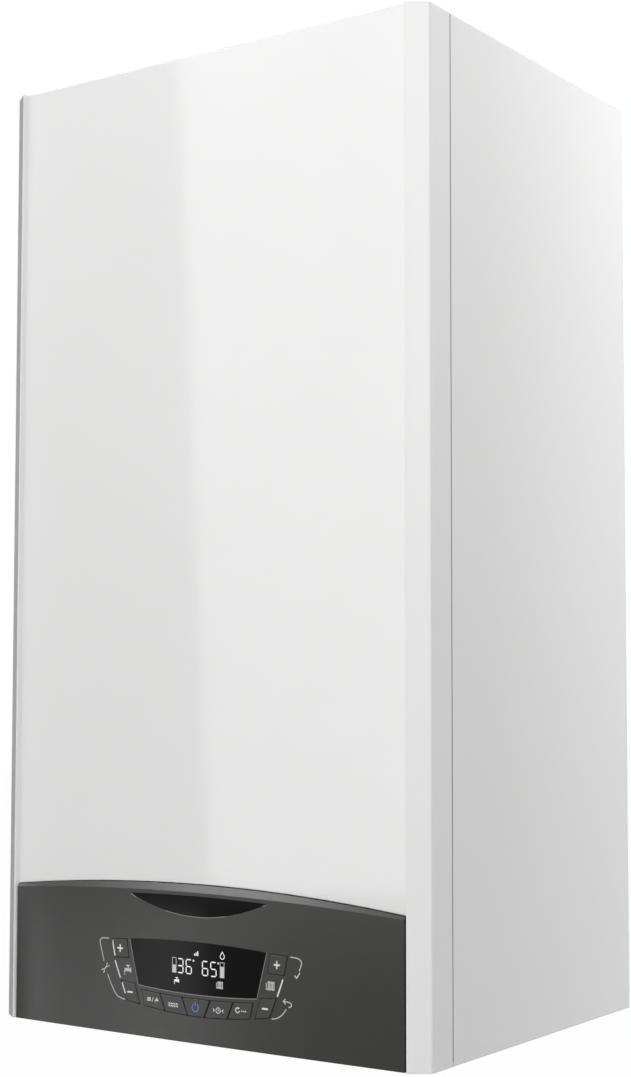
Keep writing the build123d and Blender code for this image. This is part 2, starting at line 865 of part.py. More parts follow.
# ---------------------------------------------------------------- flue collar, duct and seals

collar_top = top + collar_height
socket_low = top - socket_depth
seal_z = socket_low + seal_height
spigot_low = hub_z + exchanger_half - exchanger_wall
spigot_high = spigot_low + socket_depth
spigot_seal = spigot_high - 2 * seal_height
groove = duct_radius + touch + seal_width

with BuildPart() as flue_collar:
    rod("Z", (0, flue_y), (top, top + collar_flange_steel), collar_flange)
    rod("Z", (0, flue_y), (top, collar_top), air_radius)
    rod("Z", (0, flue_y), (top - cut, collar_top + cut), air_radius - collar_wall, Mode.SUBTRACT)
    # webs that carry the inner socket
    for turn in (0, 90):
        with Locations(Location((0, flue_y, top + collar_web_height / 2), (0, 0, turn))):
            Box(2 * air_radius - collar_wall, collar_web, collar_web_height)
    rod("Z", (0, flue_y), (socket_low, collar_top), duct_radius + socket_wall)
    rod("Z", (0, flue_y), (top, collar_top + cut), flue_bore, Mode.SUBTRACT)
    rod("Z", (0, flue_y), (socket_low - cut, top - stop_ring), duct_radius + play, Mode.SUBTRACT)
    rod("Z", (0, flue_y), (socket_low, top + cut), duct_radius - 2 * duct_wall, Mode.SUBTRACT)
    rod("Z", (0, flue_y), (seal_z, seal_z + seal_height + touch), groove, Mode.SUBTRACT)
save(flue_collar, "flue_collar")

with BuildPart() as flue_duct:
    rod("Z", (0, flue_y), (spigot_low + sheet, top - stop_ring - play), duct_radius)
    rod("Z", (0, flue_y), (spigot_low, top), duct_radius - duct_wall, Mode.SUBTRACT)
save(flue_duct, "flue_duct")

with BuildPart() as flue_seals:
    for low in (seal_z, spigot_seal):
        rod("Z", (0, flue_y), (low, low + seal_height), duct_radius + touch / 2 + seal_width)
    rod("Z", (0, flue_y), (spigot_low, top), duct_radius + touch / 2, Mode.SUBTRACT)
save(flue_seals, "flue_seals")

# ---------------------------------------------------------------- primary heat exchanger

stub_y_flow = exchanger_front + stub_setback
stub_y_return = exchanger_rear - stub_return_setback
stub_flow_z = hub_z + stub_offset
stub_return_z = hub_z - stub_offset
trap_low = bottom + trap_base
trap_top = trap_low + trap_height
exchanger_inside = exchanger_half - exchanger_wall

with BuildPart() as heat_exchanger_housing:
    with BuildSketch(Plane.XZ.offset(-exchanger_rear)):
        with Locations((exchanger_x, hub_z)):
            RectangleRounded(2 * exchanger_half, 2 * exchanger_half, exchanger_round)
    extrude(amount=exchanger_rear - exchanger_front)
    with BuildSketch(Plane.XZ.offset(-exchanger_rear + exchanger_wall)):
        with Locations((exchanger_x, hub_z)):
            RectangleRounded(2 * exchanger_inside, 2 * exchanger_inside, exchanger_round - exchanger_wall)
    extrude(amount=exchanger_rear - exchanger_front - 2 * exchanger_wall, mode=Mode.SUBTRACT)
    mouth_y = (exchanger_front - cut, exchanger_front + exchanger_wall + cut)
    rod("Y", (exchanger_x, hub_z), mouth_y, coil_outer + sheet, Mode.SUBTRACT)
    # spigots for the flue duct above and the drain below
    rod("Z", (0, flue_y), (spigot_low, spigot_high), duct_radius + socket_wall)
    rod("Z", (0, flue_y), (spigot_low - cut, spigot_high + cut), duct_radius + play, Mode.SUBTRACT)
    rod("Z", (0, flue_y), (spigot_seal, spigot_seal + seal_height + touch), groove, Mode.SUBTRACT)
    drain_z = (trap_top - drain_insert, exchanger_low + exchanger_wall)
    rod("Z", (trap_x, trap_y), drain_z, drain_radius)
    rod("Z", (trap_x, trap_y), (drain_z[0] - cut, drain_z[1] + cut), drain_radius - drain_wall, Mode.SUBTRACT)
    left_wall = (exchanger_left - cut, exchanger_left + exchanger_wall + cut)
    right_wall = (exchanger_right - exchanger_wall - cut, exchanger_right + cut)
    rod("X", (stub_y_flow, stub_flow_z), left_wall, stub_radius + play, Mode.SUBTRACT)
    rod("X", (stub_y_return, stub_return_z), right_wall, stub_radius + play, Mode.SUBTRACT)
save(heat_exchanger_housing, "heat_exchanger_housing")

coil_front = exchanger_front + coil_end_gap
coil_rear = exchanger_rear - exchanger_wall - play
coil_pitch = (coil_rear - coil_front) / coil_turns
left_stub = exchanger_left - stub_length
right_stub = exchanger_right + stub_length

with BuildPart() as heat_exchanger_coil:
    # the turns lie against each other, so the coil is one ribbed ring
    valley = coil_outer - coil_pitch / 4
    middle = (coil_outer + coil_inner) / 2
    rod("Y", (exchanger_x, hub_z), (coil_front, coil_rear), valley)
    for turn in range(coil_turns):
        low = coil_front + (turn + 1 / 8) * coil_pitch
        rod("Y", (exchanger_x, hub_z), (low, low + coil_pitch * 3 / 4), coil_outer)
    rod("Y", (exchanger_x, hub_z), (coil_front - cut, coil_rear + cut), coil_inner, Mode.SUBTRACT)
    stub_reach = math.sqrt(middle**2 - stub_offset**2)
    flow_span = (left_stub, exchanger_x - stub_reach)
    return_span = (exchanger_x + stub_reach, right_stub)
    rod("X", (stub_y_flow, stub_flow_z), flow_span, stub_radius)
    rod("X", (stub_y_return, stub_return_z), return_span, stub_radius)
    # the waterway inside the turns, linked from one to the next and out through the stubs
    for turn in range(coil_turns):
        with BuildSketch(Plane.XZ.offset(-coil_front - (turn + 1) * coil_pitch + coil_steel)):
            with Locations((exchanger_x, hub_z)):
                Circle(valley - coil_steel)
                Circle(coil_inner + coil_steel, mode=Mode.SUBTRACT)
        extrude(amount=coil_pitch - 2 * coil_steel, mode=Mode.SUBTRACT)
    link_y = (coil_front + coil_steel, coil_rear - coil_steel)
    rod("Y", (exchanger_x, hub_z + middle), link_y, coil_link, Mode.SUBTRACT)
    bore = stub_radius - pipe_wall
    rod("X", (stub_y_flow, stub_flow_z), (flow_span[0] - cut, flow_span[1]), bore, Mode.SUBTRACT)
    rod("X", (stub_y_return, stub_return_z), (return_span[0], return_span[1] + cut), bore, Mode.SUBTRACT)
save(heat_exchanger_coil, "heat_exchanger_coil")

electrode_x = exchanger_x - electrode_circle * math.cos(electrode_angle)
electrode_z = hub_z - electrode_circle * math.sin(electrode_angle)
duct_z = (fan_low + duct_steel, fan_high - duct_steel)

with BuildPart() as burner_door:
    rod("Y", (exchanger_x, hub_z), (door_front, exchanger_front), door_radius)
    rod("Y", (exchanger_x, hub_z), (duct_front, door_front), dome_radius)
    block((exchanger_x, duct_right), (duct_front, door_front), (fan_low, fan_high))
    # the mixture's way from the fan to the burner
    burner_y = (duct_front + duct_steel, exchanger_front + cut)
    rod("Y", (exchanger_x, hub_z), burner_y, burner_radius - burner_steel, Mode.SUBTRACT)
    duct_y = (duct_front + duct_steel, door_front - duct_steel)
    block((exchanger_x, duct_right - duct_steel), duct_y, duct_z, Mode.SUBTRACT)
    mouth_x = (duct_left + duct_steel, duct_right - duct_steel)
    block(mouth_x, (door_front - duct_steel - cut, door_front + cut), duct_z, Mode.SUBTRACT)
    electrode_y = (duct_front, exchanger_front + cut)
    rod("Y", (electrode_x, electrode_z), electrode_y, electrode_radius + play, Mode.SUBTRACT)
save(burner_door, "burner_door")

with BuildPart() as door_nuts:
    with BuildSketch(Plane.XZ.offset(-door_front)):
        with Locations((exchanger_x, hub_z)):
            with PolarLocations(stud_circle, 4, start_angle=45):
                RegularPolygon(nut_across / 2, 6, major_radius=False)
    extrude(amount=nut_height)
save(door_nuts, "door_nuts")

with BuildPart() as burner_tube:
    burner_end = exchanger_front + burner_length
    burner_inside = (exchanger_front - cut, burner_end - burner_steel)
    rod("Y", (exchanger_x, hub_z), (exchanger_front, burner_end), burner_radius)
    rod("Y", (exchanger_x, hub_z), (exchanger_front, exchanger_front + burner_steel), burner_radius + burner_rim)
    rod("Y", (exchanger_x, hub_z), burner_inside, burner_radius - burner_steel, Mode.SUBTRACT)
save(burner_tube, "burner_tube")

electrode_front = door_front - electrode_length / 2
electrode_end = electrode_front + electrode_length

with BuildPart() as ignition_electrode:
    rod("Y", (electrode_x, electrode_z), (electrode_front, electrode_end), electrode_radius)
    collar_y = (door_front - door_thickness, door_front)
    rod("Y", (electrode_x, electrode_z), collar_y, electrode_radius + sheet)
    rod("Y", (electrode_x, electrode_z), (electrode_front, exchanger_front + electrode_reach), electrode_wire)
save(ignition_electrode, "ignition_electrode")

with BuildPart() as ignition_lead:
    lead_y = electrode_front - lead_out
    tube(
        [
            (electrode_x, electrode_front, electrode_z),
            (electrode_x, lead_y, electrode_z),
            (electrode_x, lead_y, solenoid_z),
            (exchanger_x, lead_y, solenoid_z),
            (exchanger_right, valve_y, solenoid_z),
            (valve_left - solenoid_length, valve_y, solenoid_z),
        ],
        lead_bend,
        lead_radius,
        0,
    )
save(ignition_lead, "ignition_lead")

# ---------------------------------------------------------------- fan

with BuildPart() as fan_housing:
    rod("Z", (fan_x, fan_y), (fan_low, fan_high), fan_radius)
    block((duct_left, duct_right), (door_front, fan_y), (fan_low, fan_high))
    inside_z = (fan_low + fan_wall, fan_high - fan_wall)
    rod("Z", (fan_x, fan_y), inside_z, fan_radius - fan_wall, Mode.SUBTRACT)
    block((duct_left + fan_wall, duct_right - fan_wall), (door_front - cut, fan_y), inside_z, Mode.SUBTRACT)
    rod("Z", (fan_x, fan_y), (fan_low - cut, fan_low + fan_wall + cut), fan_inlet, Mode.SUBTRACT)
    rod("Z", (fan_x, fan_y), (fan_high - fan_wall - cut, fan_high + cut), 2 * shaft_radius, Mode.SUBTRACT)
save(fan_housing, "fan_housing")

wheel_low = hub_z - wheel_height / 2
wheel_high = hub_z + wheel_height / 2
shaft_top = fan_high + fan_motor_height / 2

with BuildPart() as fan_wheel:
    rod("Z", (fan_x, fan_y), (wheel_high - wheel_plate, wheel_high), wheel_radius)
    rod("Z", (fan_x, fan_y), (wheel_low, wheel_low + wheel_plate), wheel_radius)
    with Locations((fan_x, fan_y, hub_z)):
        with PolarLocations((wheel_radius + wheel_eye) / 2 - wheel_plate / 4, wheel_blades):
            Box(wheel_radius - wheel_eye - wheel_plate / 2, wheel_plate, wheel_height - wheel_plate)
    rod("Z", (fan_x, fan_y), (wheel_low - cut, wheel_high - wheel_plate), wheel_eye, Mode.SUBTRACT)
    rod("Z", (fan_x, fan_y), (wheel_low, wheel_high), 3 * shaft_radius)
    rod("Z", (fan_x, fan_y), (wheel_low, shaft_top), shaft_radius)
save(fan_wheel, "fan_wheel")

with BuildPart() as fan_motor:
    rod("Z", (fan_x, fan_y), (fan_high, fan_high + fan_motor_height), fan_motor_radius)
    fillet(fan_motor.edges().filter_by(GeomType.CIRCLE).sort_by(Axis.Z)[-1], radius=motor_round)
    rod("Z", (fan_x, fan_y), (fan_high - cut, shaft_top + play), shaft_radius + shaft_fit, Mode.SUBTRACT)
save(fan_motor, "fan_motor")

# ---------------------------------------------------------------- air intake, gas valve and gas pipe

with BuildPart() as intake_silencer:
    rod("Z", (fan_x, fan_y), (mixer_base, fan_low), mixer_radius)
    rod("Z", (fan_x, fan_y), (fan_low - mixer_wall, fan_low), mixer_flange)
    half_box = silencer_width / 2
    box_x = (fan_x - half_box, fan_x + half_box)
    block(box_x, (fan_y - half_box, fan_y + half_box), (mixer_base - silencer_height, mixer_base))
    half_inside = half_box - silencer_wall
    inside_x = (fan_x - half_inside, fan_x + half_inside)
    inside_z = (mixer_base - silencer_height - cut, mixer_base - silencer_wall)
    block(inside_x, (fan_y - half_inside, fan_y + half_inside), inside_z, Mode.SUBTRACT)
    rod("Y", (fan_x, port_z), (fan_y - port_reach, fan_y), port_radius)
    bore_z = (mixer_base - silencer_wall - cut, fan_low + cut)
    rod("Z", (fan_x, fan_y), bore_z, mixer_radius - mixer_wall, Mode.SUBTRACT)
    rod("Y", (fan_x, port_z), (fan_y - port_reach - cut, fan_y), port_bore, Mode.SUBTRACT)
save(intake_silencer, "intake_silencer")

with BuildPart() as gas_valve:
    valve_x = (valve_left, valve_left + valve_width)
    block(valve_x, (valve_front, valve_front + valve_depth), (valve_bottom, valve_top))
    fillet(gas_valve.edges().filter_by(Axis.Z), radius=motor_round)
    rod("X", (valve_y, solenoid_z), (valve_left - solenoid_length, valve_left), solenoid_radius)
    # the short pipe that feeds the mixer
    tube(
        [
            (fan_x, valve_y, valve_top),
            (fan_x, valve_y, port_z),
            (fan_x, fan_y - port_reach, port_z),
        ],
        injector_bend,
        injector_radius,
        pipe_wall,
    )
save(gas_valve, "gas_valve")

with BuildPart() as gas_pipe:
    gas_z = bottom + gas_run
    tube(
        [
            (0, tail_y, tail_end + cut),
            (0, tail_y, gas_z),
            (0, valve_y, gas_z),
            (fan_x, valve_y, gas_z),
            (fan_x, valve_y, valve_bottom),
        ],
        gas_bend,
        gas_pipe_radius,
        pipe_wall,
    )
    rod("Z", (0, tail_y), (tail_end, thread_top), tail_radius_large)
    rod("Z", (0, tail_y), (thread_top, bottom + tail_nut_height), tail_radius_large - tail_relief)
    tail_cut = (tail_end - cut, bottom + tail_nut_height + cut)
    rod("Z", (0, tail_y), tail_cut, gas_pipe_radius - pipe_wall, Mode.SUBTRACT)
save(gas_pipe, "gas_pipe")

# ---------------------------------------------------------------- expansion vessel

vessel_low = bottom + vessel_base
port_y = vessel_rear - vessel_port_depth
port_end = vessel_low - vessel_port_length
return_top_z = bottom + return_top
flow_top_z = bottom + flow_top


def vessel_body(inset):
    """The vessel's cushion-shaped body, or its hollow when inset by the steel."""
    with BuildPart() as body:
        with BuildSketch(Plane.XZ.offset(-vessel_rear + inset)):
            with Locations((0, vessel_low + vessel_height / 2)):
                RectangleRounded(vessel_width - 2 * inset, vessel_height - 2 * inset, vessel_round - inset)
        extrude(amount=vessel_thickness - 2 * inset)
        fillet(body.faces().filter_by(Axis.Y).edges(), radius=vessel_edge - inset)
    return body.part


with BuildPart() as expansion_vessel:
    add(vessel_body(0))
    rod("Z", (vessel_port_x, port_y), (port_end, vessel_low + vessel_edge), vessel_port_radius)
    add(vessel_body(vessel_steel), mode=Mode.SUBTRACT)
save(expansion_vessel, "expansion_vessel")

with BuildPart() as vessel_hose:
    hose_y = manifold_rear - hose_inset
    tube(
        [
            (vessel_port_x, port_y, port_end),
            (vessel_port_x, port_y, bottom + hose_turn_high),
            (vessel_port_x, hose_y, bottom + hose_turn_low),
            (vessel_port_x, hose_y, return_top_z),
        ],
        hose_bend,
        hose_radius,
        pipe_wall,
    )
save(vessel_hose, "vessel_hose")

# ---------------------------------------------------------------- hydraulics

manifold_y = (manifold_front, manifold_rear)

with BuildPart() as flow_manifold:
    block((-manifold_outer, -manifold_inner), manifold_y, (manifold_z, flow_top_z))
    fillet(flow_manifold.edges().filter_by(Axis.Z), radius=manifold_round)
    diverter_z = (flow_top_z - diverter_bore_depth, flow_top_z + cut)
    rod("Z", (heating_x, tail_y), diverter_z, diverter_bore, Mode.SUBTRACT)
save(flow_manifold, "flow_manifold")

stem_low = flow_top_z - diverter_bore_depth + diverter_lift
stem_high = flow_top_z + diverter_height / 2

with BuildPart() as diverter_stem:
    rod("Z", (heating_x, tail_y), (stem_low, stem_low + diverter_plug_height), diverter_plug)
    rod("Z", (heating_x, tail_y), (stem_low, stem_high), diverter_stem_radius)
save(diverter_stem, "diverter_stem")

with BuildPart() as diverter_motor:
    half_motor = diverter_width / 2
    motor_x = (heating_x - half_motor, heating_x + half_motor)
    motor_z = (flow_top_z, flow_top_z + diverter_height)
    block(motor_x, (tail_y - half_motor, tail_y + half_motor), motor_z)
    fillet(diverter_motor.edges().filter_by(Axis.Z), radius=motor_round)
    stem_room = (flow_top_z - cut, stem_high + diverter_lift + play)
    rod("Z", (heating_x, tail_y), stem_room, diverter_stem_radius + shaft_fit, Mode.SUBTRACT)
save(diverter_motor, "diverter_motor")

with BuildPart() as return_manifold:
    block((manifold_inner, manifold_outer), manifold_y, (manifold_z, return_top_z))
    fillet(return_manifold.edges().filter_by(Axis.Z), radius=manifold_round)
save(return_manifold, "return_manifold")

with BuildPart() as plate_heat_exchanger:
    plates_z = (bottom + plates_low, bottom + plates_high)
    rib = plate_pitch / 2
    core_x = (-plates_half + rib / 2, plates_half - rib / 2)
    block(core_x, (plates_front, plates_rear), (plates_z[0] + rib / 2, plates_z[1] - rib / 2))
    for plate in range(int((plates_rear - plates_front) / plate_pitch)):
        low = plates_front + plate * plate_pitch + rib / 2
        block((-plates_half, plates_half), (low, low + rib), plates_z)
        # the channel between one plate and the next
        channel_x = (-plates_half + plate_pitch, plates_half - plate_pitch)
        channel_z = (plates_z[0] + plate_pitch, plates_z[1] - plate_pitch)
        block(channel_x, (low, low + rib), channel_z, Mode.SUBTRACT)
    for side in (-1, 1):
        for level in (plates_z[0] + 2 * plate_port_radius, plates_z[1] - 2 * plate_port_radius):
            rod("Y", (side * plate_port_x, level), (manifold_rear, plates_front), plate_port_radius)
save(plate_heat_exchanger, "plate_heat_exchanger")

pump_level = bottom + pump_z
pump_front = pump_y - pump_width / 2
pump_rear = pump_y + pump_width / 2
pump_outlet_top = bottom + pump_outlet_z
shaft_end = pump_front - pump_width / 2

with BuildPart() as pump_housing:
    rod("Y", (pump_x, pump_level), (pump_front, pump_rear), pump_radius)
    rod("Z", (pump_outlet_x, pump_y), (pump_level, pump_outlet_top), pump_port_radius)
    rod("Z", (pump_x, pump_y), (return_top_z, pump_level), pump_port_radius)
    rod("Y", (pump_x, pump_level), (pump_front - cut, pump_y), pump_chamber, Mode.SUBTRACT)
save(pump_housing, "pump_housing")

with BuildPart() as pump_motor:
    rod("Y", (pump_x, pump_level), (pump_front - pump_motor_length, pump_front), pump_motor_radius)
    fillet(pump_motor.edges().filter_by(GeomType.CIRCLE).sort_by(Axis.Y)[0], radius=motor_round)
    rod("Y", (pump_x, pump_level), (shaft_end, pump_front + cut), shaft_radius + shaft_fit, Mode.SUBTRACT)
save(pump_motor, "pump_motor")

with BuildPart() as pump_impeller:
    impeller_y = (pump_front + pump_y) / 2
    impeller_ends = (impeller_y - impeller_width / 2, impeller_y + impeller_width / 2)
    rod("Y", (pump_x, pump_level), impeller_ends, impeller_radius)
    with BuildSketch(Plane.XZ.offset(-impeller_ends[1] + wheel_plate)):
        with Locations((pump_x, pump_level)):
            with PolarLocations((impeller_radius + 3 * shaft_radius) / 2 + sheet, impeller_vanes):
                RectangleRounded(impeller_radius - 4 * shaft_radius, 3 * wheel_plate, wheel_plate)
    extrude(amount=impeller_width - 2 * wheel_plate, mode=Mode.SUBTRACT)
    rod("Y", (pump_x, pump_level), (shaft_end + play, impeller_y), shaft_radius)
save(pump_impeller, "pump_impeller")

with BuildPart() as flow_pipe:
    turn_z = bottom + flow_pipe_turn
    tube(
        [
            (left_stub, stub_y_flow, stub_flow_z),
            (flow_pipe_x, stub_y_flow, stub_flow_z),
            (flow_pipe_x, stub_y_flow, turn_z),
            (flow_pipe_x, manifold_front + flow_pipe_setback, turn_z),
            (flow_pipe_x, manifold_front + flow_pipe_setback, flow_top_z),
        ],
        water_bend,
        stub_radius,
        pipe_wall,
    )
save(flow_pipe, "flow_pipe")

with BuildPart() as return_pipe:
    tube(
        [
            (right_stub, stub_y_return, stub_return_z),
            (pump_outlet_x, stub_y_return, stub_return_z),
            (pump_outlet_x, stub_y_return, pump_outlet_top),
        ],
        water_bend,
        stub_radius,
        pipe_wall,
    )
save(return_pipe, "return_pipe")

with BuildPart() as safety_valve:
    safety_level = bottom + safety_z
    body_front = manifold_front - safety_length
    rod("Y", (safety_x, safety_level), (body_front, manifold_front), safety_radius)
    rod("Y", (safety_x, safety_level), (body_front - spindle_length, body_front), safety_spindle)
save(safety_valve, "safety_valve")

with BuildPart() as safety_valve_knob:
    knob_rear = body_front - knob_gap
    with BuildSketch(Plane.XZ.offset(-knob_rear)):
        with Locations((safety_x, safety_level)):
            flutes(safety_knob_radius)
    extrude(amount=safety_knob_length)
    knob_bore = (body_front - spindle_length - play, knob_rear + cut)
    rod("Y", (safety_x, safety_level), knob_bore, safety_spindle + shaft_fit, Mode.SUBTRACT)
save(safety_valve_knob, "safety_valve_knob")

with BuildPart() as filling_valve:
    rod("Z", (filling_x, tail_y), (bottom, manifold_z), filling_radius)
    rod("Z", (filling_x, tail_y), (bottom - spindle_length, bottom), filling_spindle)
save(filling_valve, "filling_valve")

with BuildPart() as filling_knob:
    knob_top = bottom - knob_gap
    with BuildSketch(Plane.XY.offset(knob_top - filling_knob_height)):
        with Locations((filling_x, tail_y)):
            flutes(filling_knob_radius)
    extrude(amount=filling_knob_height)
    knob_bore = (bottom - spindle_length - play, knob_top + cut)
    rod("Z", (filling_x, tail_y), knob_bore, filling_spindle + shaft_fit, Mode.SUBTRACT)
save(filling_knob, "filling_knob")

# ---------------------------------------------------------------- condensate trap and hose

outlet_end = trap_low - trap_outlet_length

with BuildPart() as condensate_trap:
    rod("Z", (trap_x, trap_y), (trap_low, trap_top), trap_radius)
    with BuildSketch(Plane.XY.offset(trap_low)):
        with Locations((trap_x, trap_y)):
            flutes(trap_radius + duct_steel)
    extrude(amount=trap_cap)
    rod("Z", (trap_x, trap_y), (outlet_end, trap_low), trap_outlet)
    insert_z = (trap_top - drain_insert - play, trap_top + cut)
    rod("Z", (trap_x, trap_y), insert_z, drain_radius + play, Mode.SUBTRACT)
    bore = trap_outlet - drain_wall
    rod("Z", (trap_x, trap_y), (outlet_end - cut, trap_top), bore, Mode.SUBTRACT)
save(condensate_trap, "condensate_trap")

with BuildPart() as condensate_hose:
    tube(
        [
            (trap_x, trap_y, outlet_end),
            (trap_x, trap_y, bottom + drain_hose_high),
            (hose_outlet_x, trap_y, bottom + drain_hose_low),
            (hose_outlet_x, trap_y, bottom - drain_hose_drop),
        ],
        gas_bend,
        trap_outlet,
        drain_hose_wall,
    )
    # the cuff that the house's drain pipe goes over
    cuff_z = (bottom - drain_hose_drop, bottom - drain_cuff_gap)
    hose_bore_z = (cuff_z[0] - cut, cuff_z[1] + cut)
    rod("Z", (hose_outlet_x, trap_y), cuff_z, drain_radius)
    rod("Z", (hose_outlet_x, trap_y), hose_bore_z, trap_outlet - drain_hose_wall, Mode.SUBTRACT)
save(condensate_hose, "condensate_hose")
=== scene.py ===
import json
import math

import bmesh
import bpy
from mathutils import Euler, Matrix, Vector
from mathutils.bvhtree import BVHTree


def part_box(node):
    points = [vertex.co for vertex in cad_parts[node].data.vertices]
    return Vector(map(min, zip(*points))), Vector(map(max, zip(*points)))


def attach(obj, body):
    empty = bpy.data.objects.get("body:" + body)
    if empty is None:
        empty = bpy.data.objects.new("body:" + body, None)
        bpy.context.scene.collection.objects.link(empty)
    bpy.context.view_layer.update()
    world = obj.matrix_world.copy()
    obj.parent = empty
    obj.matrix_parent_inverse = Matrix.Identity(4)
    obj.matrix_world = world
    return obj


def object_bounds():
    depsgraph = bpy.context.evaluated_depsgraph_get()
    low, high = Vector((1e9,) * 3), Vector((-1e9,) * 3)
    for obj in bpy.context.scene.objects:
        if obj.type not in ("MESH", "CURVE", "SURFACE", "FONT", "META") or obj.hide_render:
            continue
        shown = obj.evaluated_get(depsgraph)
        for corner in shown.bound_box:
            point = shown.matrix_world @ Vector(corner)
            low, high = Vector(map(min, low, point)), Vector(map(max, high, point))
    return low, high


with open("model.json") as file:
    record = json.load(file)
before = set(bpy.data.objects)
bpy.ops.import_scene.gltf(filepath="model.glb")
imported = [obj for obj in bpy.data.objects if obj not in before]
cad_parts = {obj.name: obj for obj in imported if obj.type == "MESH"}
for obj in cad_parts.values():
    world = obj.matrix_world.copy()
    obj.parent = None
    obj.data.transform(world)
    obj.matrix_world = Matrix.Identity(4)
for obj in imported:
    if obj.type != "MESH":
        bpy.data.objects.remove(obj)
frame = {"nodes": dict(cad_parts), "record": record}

# The combi boiler's looks, in metres and in the frame of the CAD model: +X right, +Y into the wall, +Z up.
# Signs on the facia are drawn in millimetres, across from the controls' middle and up from the casing's bottom edge.

cad_low, cad_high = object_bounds()
nodes = frame["nodes"]
MM = 0.001
CASING_BOTTOM = -0.695
CONTROLS_MIDDLE = 1.6  # millimetres right of the casing's own middle
SHEET_EDGE = 0.1832  # half the width of the front sheet and of the facia
PILLAR_START = 0.1834  # outside it


# ---------------------------------------------------------------- nodes of a material, a light or the world

def add_node(owner, kind, **values):
    """A node, with its properties and its inputs set by name."""
    node = owner.node_tree.nodes.new(kind)
    for name, value in values.items():
        if name in node.inputs:
            node.inputs[name].default_value = value
        else:
            setattr(node, name, value)
    return node


def link(owner, source, target):
    owner.node_tree.links.new(source, target)


def calculate(owner, operation, *terms):
    """A Math node's result. Each term is a socket or a number."""
    node = add_node(owner, "ShaderNodeMath", operation=operation)
    for term, socket in zip(terms, node.inputs):
        if isinstance(term, bpy.types.NodeSocket):
            link(owner, term, socket)
        else:
            socket.default_value = term
    return node.outputs["Value"]


def spread(owner, factor, low, high, start=0.3, end=0.7):
    """A factor's part from start to end, spread between two values."""
    node = add_node(owner, "ShaderNodeMapRange")
    for socket, value in zip(("From Min", "From Max", "To Min", "To Max"), (start, end, low, high)):
        node.inputs[socket].default_value = value
    link(owner, factor, node.inputs["Value"])
    return node.outputs["Result"]


def ray_share(owner, *kinds):
    """1 for rays of any of these kinds and 0 for others."""
    paths = add_node(owner, "ShaderNodeLightPath")
    share = paths.outputs[kinds[0]]
    for kind in kinds[1:]:
        share = calculate(owner, "MAXIMUM", share, paths.outputs[kind])
    return share


def mix_shaders(owner, share, first, second):
    mix = add_node(owner, "ShaderNodeMixShader")
    link(owner, share, mix.inputs["Fac"])
    link(owner, first, mix.inputs[1])
    link(owner, second, mix.inputs[2])
    return mix.outputs["Shader"]


# ---------------------------------------------------------------- parts of a material

def shader(name, colour, rough, metal=0.0, specular=0.5, coat=0.0, coat_rough=0.05):
    """A new material with a Principled shader whose even values sit on its own sockets."""
    material = bpy.data.materials.new(name)
    material.use_nodes = True
    bsdf = principled(material)
    bsdf.inputs["Base Color"].default_value = (*colour, 1)
    bsdf.inputs["Roughness"].default_value = rough
    bsdf.inputs["Metallic"].default_value = metal
    bsdf.inputs["Specular IOR Level"].default_value = specular
    bsdf.inputs["Coat Weight"].default_value = coat
    bsdf.inputs["Coat Roughness"].default_value = coat_rough
    return material


def principled(material):
    return material.node_tree.nodes["Principled BSDF"]


def place(material, stretch=(1, 1, 1)):
    """The object's own coordinates in metres, stretched along its axes."""
    coordinates = add_node(material, "ShaderNodeTexCoord")
    mapping = add_node(material, "ShaderNodeMapping", Scale=stretch)
    link(material, coordinates.outputs["Object"], mapping.inputs["Vector"])
    return mapping.outputs["Vector"]


def noise(material, scale, detail=3.0, stretch=(1, 1, 1)):
    node = add_node(material, "ShaderNodeTexNoise", Scale=scale, Detail=detail)
    link(material, place(material, stretch), node.inputs["Vector"])
    return node.outputs["Fac"]


def cells(material, scale, feature="F1"):
    node = add_node(material, "ShaderNodeTexVoronoi", feature=feature, Scale=scale)
    link(material, place(material), node.inputs["Vector"])
    return node


def blend_colours(material, factor, first, second, start=0.35, end=0.65):
    """The base colour wanders between two colours with a factor."""
    ramp = add_node(material, "ShaderNodeValToRGB")
    for element, position, colour in zip(ramp.color_ramp.elements, (start, end), (first, second)):
        element.position = position
        element.color = (*colour, 1)
    link(material, factor, ramp.inputs["Fac"])
    link(material, ramp.outputs["Color"], principled(material).inputs["Base Color"])


def roughen(material, factor, low, high):
    link(material, spread(material, factor, low, high), principled(material).inputs["Roughness"])


def bump(material, factor, strength, depth):
    node = add_node(material, "ShaderNodeBump", Strength=strength, Distance=depth)
    link(material, factor, node.inputs["Height"])
    link(material, node.outputs["Normal"], principled(material).inputs["Normal"])


def under_grain(material):
    """The socket that takes what a material's grain lies on; bump() has made the grain."""
    return principled(material).inputs["Normal"].links[0].from_node.inputs["Normal"]


def round_edges(material, radius, coat=False):
    """Shades a solid's edges as rounded, under the grain and where wanted under the coat too."""
    rounded = add_node(material, "ShaderNodeBevel", samples=6, Radius=radius)
    link(material, rounded.outputs["Normal"], under_grain(material))
    if coat:
        link(material, rounded.outputs["Normal"], principled(material).inputs["Coat Normal"])


